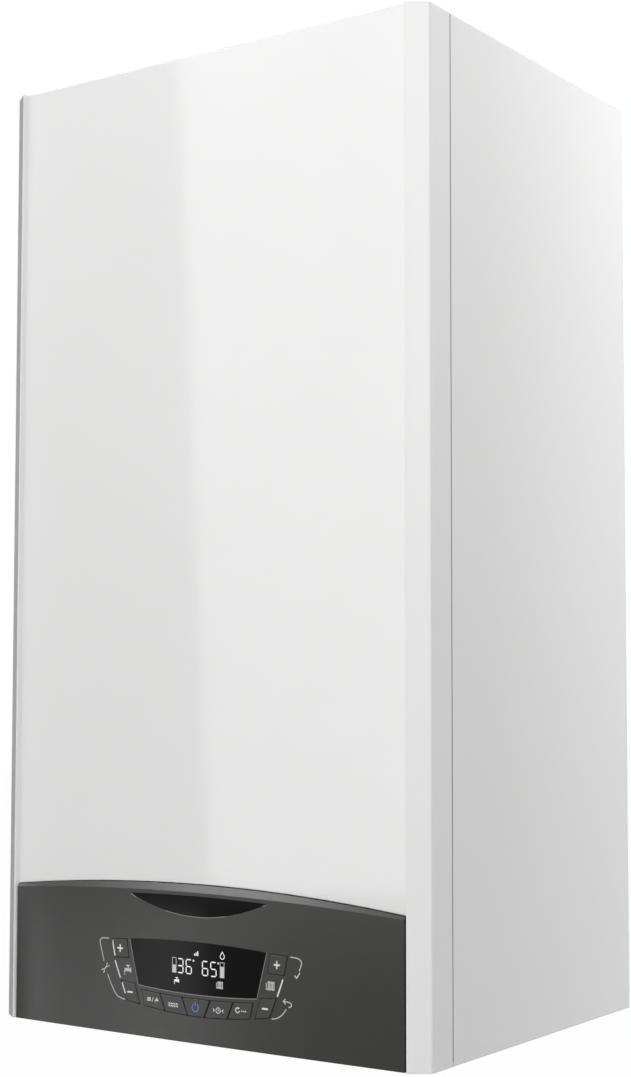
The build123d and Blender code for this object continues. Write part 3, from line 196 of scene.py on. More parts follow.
def curl(material, left, right, reach):
    """Turns a front sheet's shading near its two ends, as a sheet does that bends forward there by so much.

    It comes after round_edges() and lies on top of what that does.
    """
    coordinates = add_node(material, "ShaderNodeTexCoord")
    split = add_node(material, "ShaderNodeSeparateXYZ")
    link(material, coordinates.outputs["Object"], split.inputs["Vector"])
    across = split.outputs["X"]
    bends = []
    for side, height in ((-1, left), (1, right)):
        scaled = calculate(material, "MULTIPLY", across, side / reach)
        beyond = calculate(material, "SUBTRACT", scaled, SHEET_EDGE / reach)
        bends.append(calculate(material, "MULTIPLY", calculate(material, "EXPONENT", beyond), height))
    both = calculate(material, "ADD", *bends)
    on_sheet = calculate(material, "COMPARE", across, 0.0, PILLAR_START)
    turn = add_node(material, "ShaderNodeBump", Strength=1.0, Distance=1.0)
    link(material, calculate(material, "MULTIPLY", both, on_sheet), turn.inputs["Height"])
    for rounded in under_grain(material).links:
        link(material, rounded.from_socket, turn.inputs["Normal"])
    link(material, turn.outputs["Normal"], under_grain(material))


def shade(colour, factor):
    return tuple(channel * factor for channel in colour)


# ---------------------------------------------------------------- materials

def enamel(name, colour, coat_rough=0.05):
    """Glossy stoved enamel on sheet steel, with a faint orange peel."""
    material = shader(name, colour, 0.45, specular=0.25, coat=0.85, coat_rough=coat_rough)
    blend_colours(material, noise(material, 6.0), shade(colour, 0.985), colour)
    roughen(material, noise(material, 90.0), 0.40, 0.50)
    bump(material, noise(material, 420.0, 2.0), 0.08, 0.0001)
    return material


def plastic(name, colour, rough=0.5, grain=0.12, specular=0.5, uneven=0.06):
    """Moulded plastic with a fine eroded grain and a slightly uneven gloss."""
    material = shader(name, colour, rough, specular=specular)
    blend_colours(material, noise(material, 14.0), shade(colour, 1 - uneven), shade(colour, 1 + uneven))
    roughen(material, noise(material, 160.0), rough - uneven, rough + uneven)
    bump(material, noise(material, 2600.0, 4.0), grain, 0.0001)
    return material


def brushed(name, colour, rough, stretch):
    """Metal with fine marks drawn along one axis."""
    material = shader(name, colour, rough, metal=1.0)
    marks = noise(material, 60.0, 6.0, stretch)
    blend_colours(material, marks, shade(colour, 0.86), colour)
    roughen(material, marks, rough - 0.07, rough + 0.10)
    bump(material, marks, 0.25, 0.0001)
    return material


def cast(name, colour, rough):
    """Cast metal with a sandy skin and darker patches."""
    material = shader(name, colour, rough, metal=0.85)
    blend_colours(material, noise(material, 24.0, 5.0), shade(colour, 0.78), colour)
    roughen(material, noise(material, 60.0, 4.0), rough - 0.10, rough + 0.15)
    bump(material, noise(material, 900.0, 5.0), 0.35, 0.0003)
    return material


def galvanised(name, colour):
    """Zinc-plated steel with its spangle."""
    material = shader(name, colour, 0.4, metal=1.0)
    spangle = cells(material, 130.0)
    tint = add_node(material, "ShaderNodeSeparateColor")
    link(material, spangle.outputs["Color"], tint.inputs["Color"])
    blend_colours(material, tint.outputs["Red"], shade(colour, 0.87), colour, 0.0, 1.0)
    roughen(material, tint.outputs["Green"], 0.34, 0.46)
    bump(material, noise(material, 500.0, 4.0), 0.15, 0.0001)
    return material


def tarnished(name, colour, dark, rough):
    """Copper or brass with darker stains and drawing marks."""
    material = shader(name, colour, rough, metal=1.0)
    blend_colours(material, noise(material, 32.0, 6.0), dark, colour, 0.32, 0.55)
    roughen(material, noise(material, 45.0, 5.0), rough - 0.08, rough + 0.20)
    bump(material, noise(material, 1200.0, 3.0), 0.12, 0.0001)
    return material


def circuit_board(name, colour):
    """Solder mask with lighter copper tracks under it."""
    material = shader(name, colour, 0.32)
    tracks = cells(material, 210.0, "DISTANCE_TO_EDGE").outputs["Distance"]
    blend_colours(material, tracks, shade(colour, 1.9), colour, 0.02, 0.07)
    roughen(material, noise(material, 200.0), 0.25, 0.42)
    bump(material, tracks, 0.3, 0.00005)
    return material


def glowing(name, colour, strength):
    """A lit segment or symbol, a little uneven as such a light is."""
    material = shader(name, shade(colour, 0.5), 0.4)
    bsdf = principled(material)
    bsdf.inputs["Emission Color"].default_value = (*colour, 1)
    uneven = spread(material, noise(material, 700.0), strength * 0.85, strength)
    link(material, uneven, bsdf.inputs["Emission Strength"])
    return material


finishes = {
    "casing_white": enamel("casing_white", (0.83, 0.83, 0.825)),
    "zinc_steel": galvanised("zinc_steel", (0.62, 0.63, 0.64)),
    "facia_grey": plastic("facia_grey", (0.021, 0.0207, 0.0192), 0.21, 0.02, specular=0.30, uneven=0.015),
    "button_grey": plastic("button_grey", (0.023, 0.0227, 0.0210), 0.23, 0.02, specular=0.30, uneven=0.015),
    "gloss_black": plastic("gloss_black", (0.0025, 0.0025, 0.0025), 0.09, 0.01, specular=0.06, uneven=0.01),
    "box_black": plastic("box_black", (0.018, 0.018, 0.019), 0.55, 0.3),
    "board_green": circuit_board("board_green", (0.012, 0.105, 0.045)),
    "seal_rubber": plastic("seal_rubber", (0.020, 0.020, 0.020), 0.75, 0.4),
    "trap_grey": plastic("trap_grey", (0.33, 0.34, 0.35), 0.45, 0.2),
    "exchanger_steel": brushed("exchanger_steel", (0.60, 0.59, 0.57), 0.30, (1, 12, 1)),
    "cast_aluminium": cast("cast_aluminium", (0.56, 0.57, 0.58), 0.55),
    "ceramic_white": plastic("ceramic_white", (0.78, 0.75, 0.68), 0.35, 0.1),
    "rotor_black": plastic("rotor_black", (0.025, 0.025, 0.026), 0.5, 0.2),
    "vessel_red": enamel("vessel_red", (0.36, 0.012, 0.008), 0.12),
    "copper": tarnished("copper", (0.80, 0.38, 0.22), (0.48, 0.18, 0.10), 0.28),
    "brass": tarnished("brass", (0.72, 0.52, 0.22), (0.50, 0.34, 0.13), 0.30),
    "knob_red": plastic("knob_red", (0.42, 0.012, 0.010), 0.4, 0.15),
    "knob_blue": plastic("knob_blue", (0.010, 0.045, 0.30), 0.4, 0.15),
}
round_edges(finishes["casing_white"], 0.0012, coat=True)
round_edges(finishes["facia_grey"], 0.0004)
round_edges(finishes["button_grey"], 0.0005)
curl(finishes["casing_white"], left=0.0050, right=0.0004, reach=0.010)
curl(finishes["facia_grey"], left=0.0038, right=0.0004, reach=0.026)
for part in frame["record"]["subparts"]:
    carried = nodes[part["node"]]
    carried.data.materials.clear()
    carried.data.materials.append(finishes[part["material_slot"]])

ink = plastic("printed_ink", (0.58, 0.58, 0.57), 0.5, 0.05)
sign_white = plastic("sign_white", (0.80, 0.80, 0.80), 0.5, 0.05)
# painted highlight: a light grey for strips along the facia's recess edges, where those edges catch the light
painted_edge_highlight = plastic("painted_edge_highlight", (0.17, 0.168, 0.16), 0.38, 0.05)
lit_white = glowing("lit_white", (0.90, 0.92, 0.90), 0.66)
lit_dim = glowing("lit_dim", (0.80, 0.82, 0.80), 0.24)
lit_blue = glowing("lit_blue", (0.05, 0.17, 0.60), 0.60)


# ---------------------------------------------------------------- outlines, as points in millimetres

TINY = 1e-6
MITRE_LIMIT = 0.5  # keeps the mitre of a sharp corner within the line's width


def area_of(points):
    """The area inside an outline, below zero where it runs clockwise."""
    following = points[1:] + points[:1]
    return sum(here[0] * there[1] - there[0] * here[1] for here, there in zip(points, following)) / 2


def bar(x, z, width, height):
    """An upright rectangle's corners, round its middle."""
    left, right = x - width / 2, x + width / 2
    low, high = z - height / 2, z + height / 2
    return [(left, low), (right, low), (right, high), (left, high)]


def arc(centre, radius, start, end, steps):
    """Points round part of a circle, in degrees from +X."""
    angles = [math.radians(start + (end - start) * i / steps) for i in range(steps + 1)]
    return [(centre[0] + radius * math.cos(angle), centre[1] + radius * math.sin(angle)) for angle in angles]


def straight(start, end, steps):
    """Points along a straight line, near enough to each other to follow a bowed surface."""
    return [tuple(a + (b - a) * i / steps for a, b in zip(start, end)) for i in range(steps + 1)]


def sagging(reach, steps, half, level, sag):
    """Points of a line that hangs in a shallow curve, out to reach each side; level is its height at half."""
    return [(x, level - sag * (1 - (x / half) ** 2)) for x, _ in straight((-reach, 0), (reach, 0), steps)]


def smooth(points, steps):
    """A soft line through points, with so many steps from one to the next."""
    out = []
    for i in range(len(points) - 1):
        before = Vector(points[max(i - 1, 0)])
        start, end = Vector(points[i]), Vector(points[i + 1])
        after = Vector(points[min(i + 2, len(points) - 1)])
        for step in range(steps):
            t = step / steps
            out.append(tuple(0.5 * (2 * start + (end - before) * t
                                    + (2 * before - 5 * start + 4 * end - after) * t ** 2
                                    + (3 * start - before - 3 * end + after) * t ** 3)))
    return out + [tuple(points[-1])]


def side_points(points, width, closed):
    """The two edges of a line of a given width, mitred at its corners."""
    count = len(points)
    left, right = [], []
    for i, point in enumerate(points):
        before = points[i - 1] if closed or i else point
        after = points[(i + 1) % count] if closed or i < count - 1 else point
        runs = [Vector(end) - Vector(start) for start, end in ((before, point), (point, after))]
        runs = [run.normalized() for run in runs if run.length > TINY]
        along = (runs[0] + runs[-1]).normalized()
        across = Vector((-along.y, along.x))
        reach = width / 2 / max(MITRE_LIMIT, across.dot(Vector((-runs[0].y, runs[0].x))))
        left.append(tuple(Vector(point) + across * reach))
        right.append(tuple(Vector(point) - across * reach))
    return left, right


# ---------------------------------------------------------------- plates and lines that lie on a surface

LIFT = 0.03  # a sign's face stands this far off what carries it
SINK = 0.25  # and its back this far inside


class Surface:
    """The front of a CAD node, found by looking along +Y at its mesh."""

    def __init__(self, node):
        mesh = nodes[node].data
        corners = [vertex.co.copy() for vertex in mesh.vertices]
        self.tree = BVHTree.FromPolygons(corners, [tuple(face.vertices) for face in mesh.polygons])
        self.last = cad_low.y

    def front(self, x, z):
        """The surface's y there, or beside the node the y that was found last."""
        hit = self.tree.ray_cast(Vector((x, cad_low.y - 1, z)), Vector((0, 1, 0)))[0]
        if hit is not None:
            self.last = hit.y
        return self.last


def to_frame(point, surface, push):
    """A point in the controls' millimetres, put on a surface and pushed inwards."""
    x = (CONTROLS_MIDDLE + point[0]) * MM
    z = CASING_BOTTOM + point[1] * MM
    return Vector((x, surface.front(x, z) + push * MM, z))


def wrap(mesh, one, two):
    """Faces all round between two loops of vertices."""
    for i in range(len(one)):
        j = (i + 1) % len(one)
        mesh.faces.new((one[i], one[j], two[j], two[i]))


def plate(mesh, points, surface, lift=LIFT):
    """A thin closed plate with a given outline, lying on a surface."""
    points = list(points)
    if area_of(points) < 0:
        points.reverse()
    face = [mesh.verts.new(to_frame(point, surface, -lift)) for point in points]
    back = [mesh.verts.new(to_frame(point, surface, SINK)) for point in points]
    mesh.faces.new(face)
    mesh.faces.new(back[::-1])
    wrap(mesh, back, face)


def line(mesh, points, width, surface, closed=False, lift=LIFT):
    """A line of a given width as one closed strip, lying on a surface."""
    rings = []
    for left, right in zip(*side_points(points, width, closed)):
        section = ((left, -lift), (right, -lift), (right, SINK), (left, SINK))
        rings.append([mesh.verts.new(to_frame(point, surface, push)) for point, push in section])
    pairs = list(zip(rings, rings[1:]))
    if closed:
        pairs.append((rings[-1], rings[0]))
    for one, two in pairs:
        wrap(mesh, one, two)
    if not closed:
        mesh.faces.new(rings[0][::-1])
        mesh.faces.new(rings[-1])


def new_object(name, mesh, material):
    """An object of a finished mesh, put in the scene."""
    data = bpy.data.meshes.new(name)
    mesh.to_mesh(data)
    mesh.free()
    data.materials.append(material)
    made = bpy.data.objects.new(name, data)
    bpy.context.scene.collection.objects.link(made)
    return made


def piece(name, mesh, material, body):
    """Makes an object of a finished mesh and lets it ride on a body."""
    bmesh.ops.recalc_face_normals(mesh, faces=mesh.faces)
    made = new_object(name, mesh, material)
    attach(made, body)


# ---------------------------------------------------------------- drawings that are used more than once

def tap_sign(mesh, x, z, size, surface):
    """A tap seen from the side, with a drop below it."""
    for shape in (
        [(-0.15, -0.28), (0.42, -0.28), (0.42, 0.02), (-0.15, 0.02)],  # body
        [(-0.15, -0.10), (-0.15, 0.06), (-0.34, 0.02), (-0.42, -0.24), (-0.42, -0.42), (-0.27, -0.42),
         (-0.25, -0.22)],  # spout
        [(0.04, 0.02), (0.18, 0.02), (0.18, 0.24), (0.04, 0.24)],  # stem
        [(-0.14, 0.24), (0.36, 0.24), (0.36, 0.36), (-0.14, 0.36)],  # handle
        [(0.42, -0.40), (0.54, -0.40), (0.54, 0.12), (0.42, 0.12)],  # flange
        [(-0.41, -0.66), (-0.28, -0.66), (-0.28, -0.52), (-0.41, -0.52)],  # drop
    ):
        plate(mesh, [(x + size * across, z + size * up) for across, up in shape], surface)


def radiator_sign(mesh, x, z, width, height, surface, fins=4):
    """A radiator seen from the front: its fins, two bars across them and a pipe at its left."""
    pitch = width / fins
    for fin in range(fins):
        plate(mesh, bar(x - width / 2 + pitch * (fin + 0.5), z, pitch * 0.58, height), surface)
    for level in (z + height * 0.34, z - height * 0.34):
        plate(mesh, bar(x, level, width * 0.98, height * 0.08), surface, LIFT * 0.8)
    pipe_x = x - width * 0.66
    pipe_low = z - height * 0.42
    line(mesh, [(pipe_x, z + height * 0.3), (pipe_x, pipe_low), (x - width / 2, pipe_low)], width * 0.09, surface,
         lift=LIFT * 0.6)


SEGMENTS = {"3": "abcdg", "5": "acdfg", "6": "acdefg"}
SEGMENT_GAP = 0.38  # from a digit's corner to a segment's tip
SEGMENT_WIDTH = 0.84


def digit(mesh, sign, x, z, width, height, surface):
    """A seven-segment digit, with its lower left corner given."""
    middle = height / 2
    runs = {
        "a": ((0, height), (width, height)), "b": ((width, height), (width, middle)),
        "c": ((width, middle), (width, 0)), "d": ((0, 0), (width, 0)), "e": ((0, middle), (0, 0)),
        "f": ((0, height), (0, middle)), "g": ((0, middle), (width, middle)),
    }
    for name in SEGMENTS[sign]:
        start, end = (Vector((x + right, z + up)) for right, up in runs[name])
        along = (end - start).normalized()
        half = Vector((-along.y, along.x)) * SEGMENT_WIDTH / 2
        tip = along * SEGMENT_WIDTH / 3
        inset = along * (SEGMENT_GAP + SEGMENT_WIDTH / 3)
        one, two = start + inset, end - inset
        outline = (one - tip, one - half, two - half, two + tip, two + half, one + half)
        plate(mesh, [tuple(point) for point in outline], surface)


def stroke(mesh, start, end, surface):
    """A bold straight line along a button's edge, from the casing's middle and not the controls'."""
    start, end = ((x - CONTROLS_MIDDLE, z) for x, z in (start, end))
    line(mesh, straight(start, end, 6), 1.1, surface)


# ---------------------------------------------------------------- display

DIGIT_WIDTH, DIGIT_HEIGHT, DIGIT_LOW = 5.0, 10.2, 50.4
LEVEL_LOW, LEVEL_HEIGHT = 50.3, 10.0

window = Surface("display_window")
mesh = bmesh.new()
for sign, x in (("3", -17.6), ("6", -9.6), ("6", 5.9), ("5", 13.7)):
    digit(mesh, sign, x, DIGIT_LOW, DIGIT_WIDTH, DIGIT_HEIGHT, window)
for x in (-2.6, 20.6):  # degree signs
    line(mesh, arc((x, DIGIT_LOW + 9.8), 0.55, 0, 330, 10), 0.4, window, closed=True)
tap_sign(mesh, -19.0, 44.9, 5.0, window)
drop = smooth([(24.4, 68.7), (23.2, 67.0), (22.5, 65.4), (23.1, 64.0), (24.4, 63.5), (25.7, 64.0), (26.3, 65.4),
               (25.6, 67.0), (24.4, 68.7)], 4)[:-1]
line(mesh, drop, 0.55, window, closed=True)
for step in range(3):  # a small strength sign
    plate(mesh, bar(-1.6 + 1.5 * step, 64.7 + 0.5 * step, 0.9, 1.4 + step), window)
piece("display_digits", mesh, lit_white, "control_panel")

mesh = bmesh.new()
for x, share in ((-21.0, 0.55), (24.3, 0.78)):  # a bar that is part full, in its frame
    filled = LEVEL_HEIGHT * share
    plate(mesh, bar(x, LEVEL_LOW + filled / 2, 3.0, filled), window)
    line(mesh, bar(x, 55.6, 3.6, 10.8), 0.45, window, closed=True)
radiator_sign(mesh, 22.6, 44.6, 5.2, 5.4, window)
piece("display_levels", mesh, lit_dim, "control_panel")

# ---------------------------------------------------------------- printed marks on the facia

facia = Surface("facia")
mesh = bmesh.new()
for route in (  # the four curved lines beside the controls, from the casing's middle
    [(-84.5, 70.1), (-88.5, 70.0), (-92.0, 69.5), (-93.7, 67.2), (-92.6, 62.8), (-90.8, 57.0), (-89.4, 52.6)],
    [(-85.6, 43.1), (-83.4, 38.6), (-80.6, 34.0), (-78.0, 30.2), (-75.4, 27.6), (-71.6, 26.3), (-67.8, 25.5)],
    [(87.4, 70.2), (91.2, 70.0), (94.9, 69.4), (97.1, 67.0), (96.4, 64.0), (95.1, 61.0)],
    [(83.8, 33.2), (81.9, 30.6), (79.5, 28.2), (76.6, 26.4), (73.8, 25.5), (71.0, 25.1)],
):
    line(mesh, smooth([(x - CONTROLS_MIDDLE, z) for x, z in route], 5), 0.7, facia)
# a spanner
line(mesh, [(-91.0, 46.0), (-87.8, 49.2)], 0.9, facia)
for x, z, start in ((-87.0, 50.0, 95), (-91.8, 45.2, 275)):
    line(mesh, arc((x, z), 1.25, start, start + 260, 12), 0.7, facia)
# a tick
line(mesh, [(89.4, 57.6), (91.2, 55.8), (94.2, 59.8)], 0.85, facia)
# a turning arrow
turning = [(80.4, 38.4), (83.0, 38.4), (85.8, 37.9), (86.9, 36.4), (85.9, 35.0), (84.2, 34.7)]
line(mesh, smooth(turning, 5), 0.75, facia)
line(mesh, [(81.8, 36.6), (79.6, 38.5), (81.6, 40.4)], 0.7, facia)
piece("facia_lines", mesh, ink, "control_panel")

mesh = bmesh.new()
stroke(mesh, (-78.1, 54.0), (-72.5, 41.4), facia)
stroke(mesh, (80.9, 53.9), (76.0, 41.3), facia)
piece("facia_strokes", mesh, sign_white, "control_panel")

mesh = bmesh.new()
tap_sign(mesh, -65.7 - CONTROLS_MIDDLE, 48.9, 7.4, facia)
radiator_sign(mesh, 70.4 - CONTROLS_MIDDLE, 48.3, 6.4, 6.4, facia, 5)
piece("facia_signs", mesh, ink, "control_panel")

# painted highlights: light grey strips along the recess edges below the trim, below the window and at the window's
# two sides, where those edges catch the light
mesh = bmesh.new()
line(mesh, sagging(64.4, 40, half=64.8, level=105.75, sag=13.6), 0.55, facia, lift=0.12)
line(mesh, sagging(56.2, 30, half=56.2, level=37.8, sag=2.4), 0.6, facia, lift=0.12)
for side in (-1, 1):
    line(mesh, straight((side * 64.9, 71.4), (side * 56.3, 38.2), 8), 0.5, facia, lift=0.1)
piece("facia_painted_edge_highlights", mesh, painted_edge_highlight, "control_panel")

# ---------------------------------------------------------------- signs on the buttons

SIGN_MIDDLES = {
    "left_plus_button": (-74.2, 63.7), "left_minus_button": (-63.8, 31.7), "mode_button": (-41.2, 28.3),
    "comfort_button": (-21.4, 26.6), "power_button": (-0.4, 26.3), "auto_button": (21.2, 26.3),
    "reset_button": (41.2, 28.3), "right_plus_button": (74.2, 63.7), "right_minus_button": (63.8, 31.7),
}
for button, (x, z) in SIGN_MIDDLES.items():
    face = Surface(button)
    mesh = bmesh.new()
    material = sign_white
    if button == "left_plus_button":
        stroke(mesh, (-80.5, 69.4), (-77.8, 57.6), face)
    elif button == "left_minus_button":
        stroke(mesh, (-70.3, 38.0), (-66.9, 30.2), face)
    if "plus" in button:
        plate(mesh, bar(x, z, 5.6, 1.15), face)
        plate(mesh, bar(x, z, 1.15, 5.6), face, LIFT * 1.02)
    elif "minus" in button:
        plate(mesh, bar(x, z, 5.4, 1.25), face)
    elif button == "power_button":
        material = lit_blue
        line(mesh, arc((x, z), 2.9, 125, 415, 28), 0.8, face)
        plate(mesh, bar(x, z + 2.8, 0.8, 2.9), face)
    elif button == "mode_button":  # a radiator or a tap
        radiator_sign(mesh, x - 3.6, z, 3.0, 2.9, face, 3)
        line(mesh, [(x - 1.0, z - 1.7), (x + 0.4, z + 1.7)], 0.5, face)
        tap_sign(mesh, x + 3.4, z + 0.2, 3.4, face)
    elif button == "comfort_button":  # waves in two rows
        for shift in (-3.6, -1.2, 1.2, 3.6):
            wave = [(x + shift - 0.9, z + 0.4), (x + shift - 0.3, z + 1.0), (x + shift + 0.3, z + 0.0),
                    (x + shift + 0.9, z + 0.6)]
            line(mesh, smooth(wave, 4), 0.55, face)
            line(mesh, smooth([(across, up - 1.7) for across, up in wave], 4), 0.55, face)
    elif button == "auto_button":  # a clock between two points
        line(mesh, arc((x, z), 2.0, 0, 345, 20), 0.5, face, closed=True)
        line(mesh, [(x, z + 1.2), (x, z), (x + 1.0, z - 0.5)], 0.5, face)
        for side in (-1, 1):
            line(mesh, [(x + side * 4.9, z + 1.1), (x + side * 3.4, z), (x + side * 4.9, z - 1.1)], 0.55, face)
    elif button == "reset_button":  # a turning arrow and three dots
        line(mesh, arc((x - 2.2, z), 1.7, 60, 350, 18), 0.75, face)
        plate(mesh, [(x - 2.0, z + 2.6), (x - 2.0, z + 0.5), (x - 0.2, z + 1.5)], face)
        for step in range(3):
            plate(mesh, bar(x + 1.6 + 1.7 * step, z - 0.3, 0.9, 0.9), face)
    piece(button.replace("_button", "_sign"), mesh, material, button)

# ---------------------------------------------------------------- ribs and screws on the control box's lid

LID_STEP = Vector((0.0, 1.839, 0.785)) * MM  # the lid's thickness, square to its slope
PAD_SINK = 0.5  # a raised pad's foot is this far inside the lid
CORNER_PULL = 1.4  # an eased corner moves in by this many times the ease, as on a square
RIB_WIDTH, RIB_HEIGHT = 2.6, 1.2

lid_low, lid_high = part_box("control_box_lid")
lid_foot = Vector((0.0, lid_high.y, lid_low.z + LID_STEP.z))
lid_head = Vector((0.0, lid_low.y + LID_STEP.y, lid_high.z))
lid_up = (lid_head - lid_foot).normalized()
lid_out = LID_STEP.normalized()
lid_long = (lid_head - lid_foot).length / MM


def raised(mesh, points, height, ease=0.4):
    """A raised pad on the lid with eased edges; points are across and up its slope in millimetres."""
    if area_of(points) < 0:
        points = points[::-1]
    middle = sum((Vector(point) for point in points), Vector((0, 0))) / len(points)
    rings = []
    for level, inset in ((-PAD_SINK, 0.0), (height - ease, 0.0), (height, ease)):
        ring = []
        for point in points:
            inward = middle - Vector(point)
            across, up = Vector(point) + inward.normalized() * inset * CORNER_PULL
            ring.append(mesh.verts.new(lid_foot + (Vector((across, 0, 0)) + lid_up * up + lid_out * level) * MM))
        rings.append(ring)
    mesh.faces.new(rings[0][::-1])
    mesh.faces.new(rings[-1])
    for one, two in zip(rings, rings[1:]):
        wrap(mesh, one, two)


mesh = bmesh.new()
for x in range(-120, 121, 24):
    raised(mesh, bar(x, lid_long / 2, RIB_WIDTH, lid_long - 30), RIB_HEIGHT)
for up in (6.0, lid_long - 6.0):
    raised(mesh, bar(0, up, 270, RIB_WIDTH), RIB_HEIGHT)
piece("lid_ribs", mesh, finishes["box_black"], "control_panel")

mesh = bmesh.new()
for x in (-151.0, 0.0, 151.0):
    for up in (12.0, lid_long - 12.0):  # a washer and a six-sided head
        raised(mesh, arc((x, up), 4.2, 0, 345, 23), 0.9, 0.3)
        raised(mesh, arc((x, up), 2.9, 0, 300, 5), 2.6, 0.4)
piece("lid_screws", mesh, finishes["zinc_steel"], "control_panel")

# ---------------------------------------------------------------- lip of the cover's seal, partly real rubber and partly painted shade in the seam

# painted shade: the lip brings the seal's dark rubber up to just under the skin, so that it stands in for the shade
# inside the seam
LIP_RISE = 0.46 * MM  # fills the seam out to just under the casing's skin
LIP_ROOT = 0.3 * MM  # inside the seal
LIP_INSET = 0.02 * MM  # from the seal's front and back

seal_low, seal_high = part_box("cover_seal")
outer_x, outer_z = seal_high.x + LIP_RISE, seal_high.z + LIP_RISE
inner_x, inner_z = seal_high.x - LIP_ROOT, seal_high.z - LIP_ROOT
lip_outline = ((outer_x, seal_low.z), (outer_x, outer_z), (-outer_x, outer_z), (-outer_x, seal_low.z),
               (-inner_x, seal_low.z), (-inner_x, inner_z), (inner_x, inner_z), (inner_x, seal_low.z))
mesh = bmesh.new()
front, back = ([mesh.verts.new((x, y, z)) for x, z in lip_outline]
               for y in (seal_low.y + LIP_INSET, seal_high.y - LIP_INSET))
mesh.faces.new(front)
mesh.faces.new(back[::-1])
wrap(mesh, front, back)
piece("seal_lip_and_seam_shade", mesh, finishes["seal_rubber"], "chassis")


# ---------------------------------------------------------------- lights

def fade(light, fades):
    """Gives a light's strength at two places along an axis: where it starts, where it ends and both values."""
    light.use_nodes = True
    where = add_node(light, "ShaderNodeNewGeometry")
    parts = add_node(light, "ShaderNodeSeparateXYZ")
    link(light, where.outputs["Position"], parts.inputs["Vector"])
    strength = None
    for axis, (start, end, first, last) in fades.items():
        share = spread(light, parts.outputs[axis], first, last, start, end)
        strength = share if strength is None else calculate(light, "MULTIPLY", strength, share)
    link(light, strength, light.node_tree.nodes["Emission"].inputs["Strength"])


def lamp(name, place_at, look_at, size, power, roll=0.0, fades=None, diffuse=True, glossy=True):
    """A rectangular soft light that faces a point."""
    light = bpy.data.lights.new(name, "AREA")
    light.shape = "RECTANGLE"
    light.size, light.size_y = size
    light.energy = power
    if fades:
        fade(light, fades)
    made = bpy.data.objects.new(name, light)
    made.location = place_at
    made.rotation_euler = (Vector(look_at) - Vector(place_at)).to_track_quat("-Z", "Y").to_euler()
    made.rotation_euler.rotate_axis("Z", math.radians(roll))
    made.visible_camera = False
    made.visible_diffuse = diffuse
    made.visible_glossy = glossy
    bpy.context.scene.collection.objects.link(made)


# the softboxes are only mirrored; the first one's left edge is what the glossy front panel shows
lamp("front_softbox", (-1.42, -3.0, 0.38), (-1.42, 0.0, 0.38), (1.60, 2.64), 45.2, roll=3.1,
     fades={"Z": (-1.0, 1.7, 0.60, 0.66)}, diffuse=False)
lamp("pillar_softbox", (1.82, -2.63, -0.3), (0.2, -0.3, -0.3), (0.8, 3.2), 17.4,
     fades={"Z": (-1.9, 1.3, 0.40, 1.60)}, diffuse=False)
lamp("side_softbox", (1.27, 2.0, 0.2), (1.27, 0.0, 0.2), (0.6, 3.2), 32.3,
     fades={"X": (1.1, 1.5, 1.0, 0.0), "Z": (-1.2, 1.0, 0.155, 0.285)}, diffuse=False)
lamp("bevel_softbox", (-2.3, -2.0, 2.1), (0.0, -0.3, -0.6), (1.4, 1.2), 47.0, diffuse=False)
lamp("facia_softbox", (-2.555, -3.0, -1.5), (-2.555, 0.0, -1.5), (0.79, 0.95), 9.0,
     fades={"X": (-2.75, -2.35, 0.0, 1.0)}, diffuse=False)
lamp("ridge_softbox", (0.32, -3.0, -0.35), (0.32, 0.0, -0.35), (0.9, 3.2), 22.0, diffuse=False)

# the others light the surfaces and aren't mirrored
KEY_AIM = (0.0, -0.15, -0.3)
KEY_SIZE = (1.6, 1.6)
lamp("left_key", (-1.559, -2.058, 0.95), KEY_AIM, KEY_SIZE, 13.9, glossy=False)
lamp("right_key", (0.829, -2.529, 0.90), KEY_AIM, KEY_SIZE, 25.5, glossy=False)
lamp("side_key", (1.56, -2.377, 0.968), KEY_AIM, KEY_SIZE, 14.9, glossy=False)
lamp("rear_light", (0.9, 0.5, 0.6), (0.2, -0.1, -0.1), (0.8, 0.8), 8.1, glossy=False)

# the world is white where it is seen or mirrored, and a dimmer light elsewhere
world = bpy.data.worlds.new("studio")
bpy.context.scene.world = world
world.use_nodes = True
world.node_tree.nodes.clear()
ambient = add_node(world, "ShaderNodeBackground", Color=(1, 1, 1, 1), Strength=0.306)
backdrop = add_node(world, "ShaderNodeBackground", Color=(1, 1, 1, 1), Strength=1.0)
seen = ray_share(world, "Is Camera Ray", "Is Glossy Ray", "Is Transmission Ray")
mixed = mix_shaders(world, seen, ambient.outputs["Background"], backdrop.outputs["Background"])
link(world, mixed, add_node(world, "ShaderNodeOutputWorld").inputs["Surface"])


# ---------------------------------------------------------------- stage

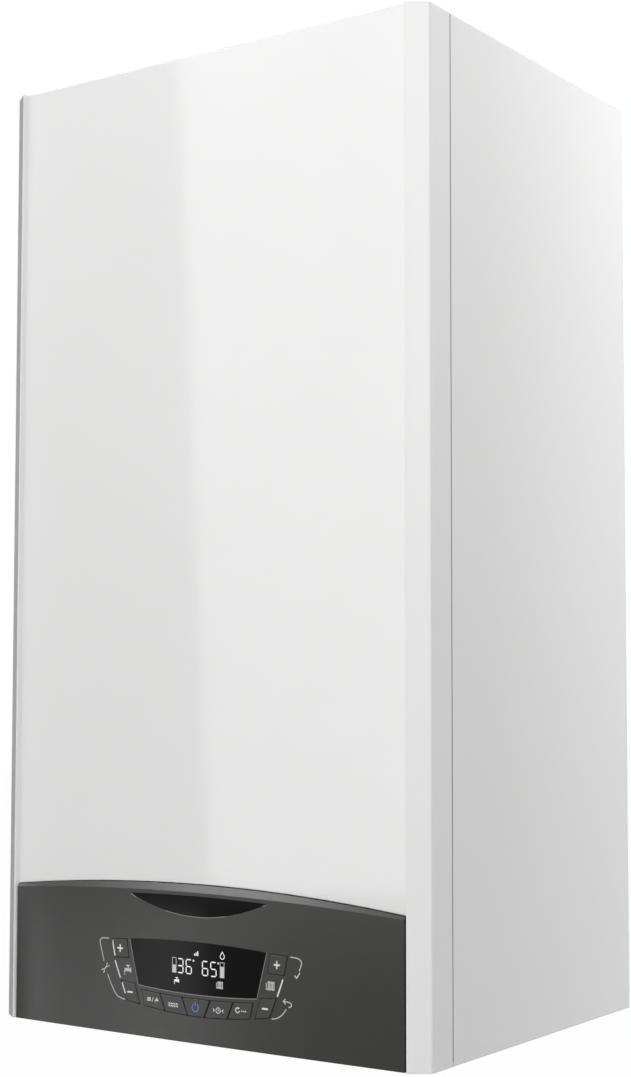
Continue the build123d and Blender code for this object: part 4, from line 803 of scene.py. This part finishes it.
def flat(name, corners, material):
    """An object of one flat face."""
    mesh = bmesh.new()
    mesh.faces.new([mesh.verts.new(corner) for corner in corners])
    return new_object(name, mesh, material)


# a pale floor, as far below as the boiler hangs above one
FLOOR_LEVEL, FLOOR_RADIUS, FLOOR_SIDES = -1.95, 30.0, 96
FLOOR_GLOW = 1.08
FLOOR_GLOW_SHARE = 0.88  # the rest keeps the object's shadow

floor_white = shader("floor_white", (0.82, 0.82, 0.82), 0.9, specular=0.1)
glow = add_node(floor_white, "ShaderNodeEmission", Strength=FLOOR_GLOW)
seen = ray_share(floor_white, "Is Camera Ray", "Is Glossy Ray")
mixed = mix_shaders(floor_white, calculate(floor_white, "MULTIPLY", seen, FLOOR_GLOW_SHARE),
                    principled(floor_white).outputs["BSDF"], glow.outputs["Emission"])
link(floor_white, mixed, floor_white.node_tree.nodes["Material Output"].inputs["Surface"])
turns = [2 * math.pi * i / FLOOR_SIDES for i in range(FLOOR_SIDES)]
floor = flat("floor", [(FLOOR_RADIUS * math.cos(turn), FLOOR_RADIUS * math.sin(turn), FLOOR_LEVEL) for turn in turns],
             floor_white)

# a dark card that only shows mirrored, in the bends at the left, and parts them from the pale backdrop
CARD_X = -1.8
card_corners = [(CARD_X, y, z) for y, z in ((-0.35, -1.9), (1.7, -1.9), (1.7, 1.3), (-0.35, 1.3))]
card = flat("dark_card", card_corners, shader("card_black", (0.02, 0.02, 0.02), 0.9, specular=0.0))
card.visible_camera = card.visible_diffuse = card.visible_shadow = card.visible_transmission = False

# ---------------------------------------------------------------- camera, solved from the casing's edges

scene = bpy.context.scene
scene.view_settings.view_transform = "Standard"

lens = bpy.data.cameras.new("camera")
lens.lens = 61.34
lens.sensor_width = 36.0
lens.shift_x = -0.0413
lens.shift_y = 0.0210
lens.clip_end = 100.0
camera = bpy.data.objects.new("camera", lens)
camera.location = (0.8701, -1.3822, -0.4261)
camera.rotation_euler = Euler([math.radians(angle) for angle in (93.634, 0.0, 34.11)])
scene.collection.objects.link(camera)
scene.camera = camera

bpy.context.view_layer.update()
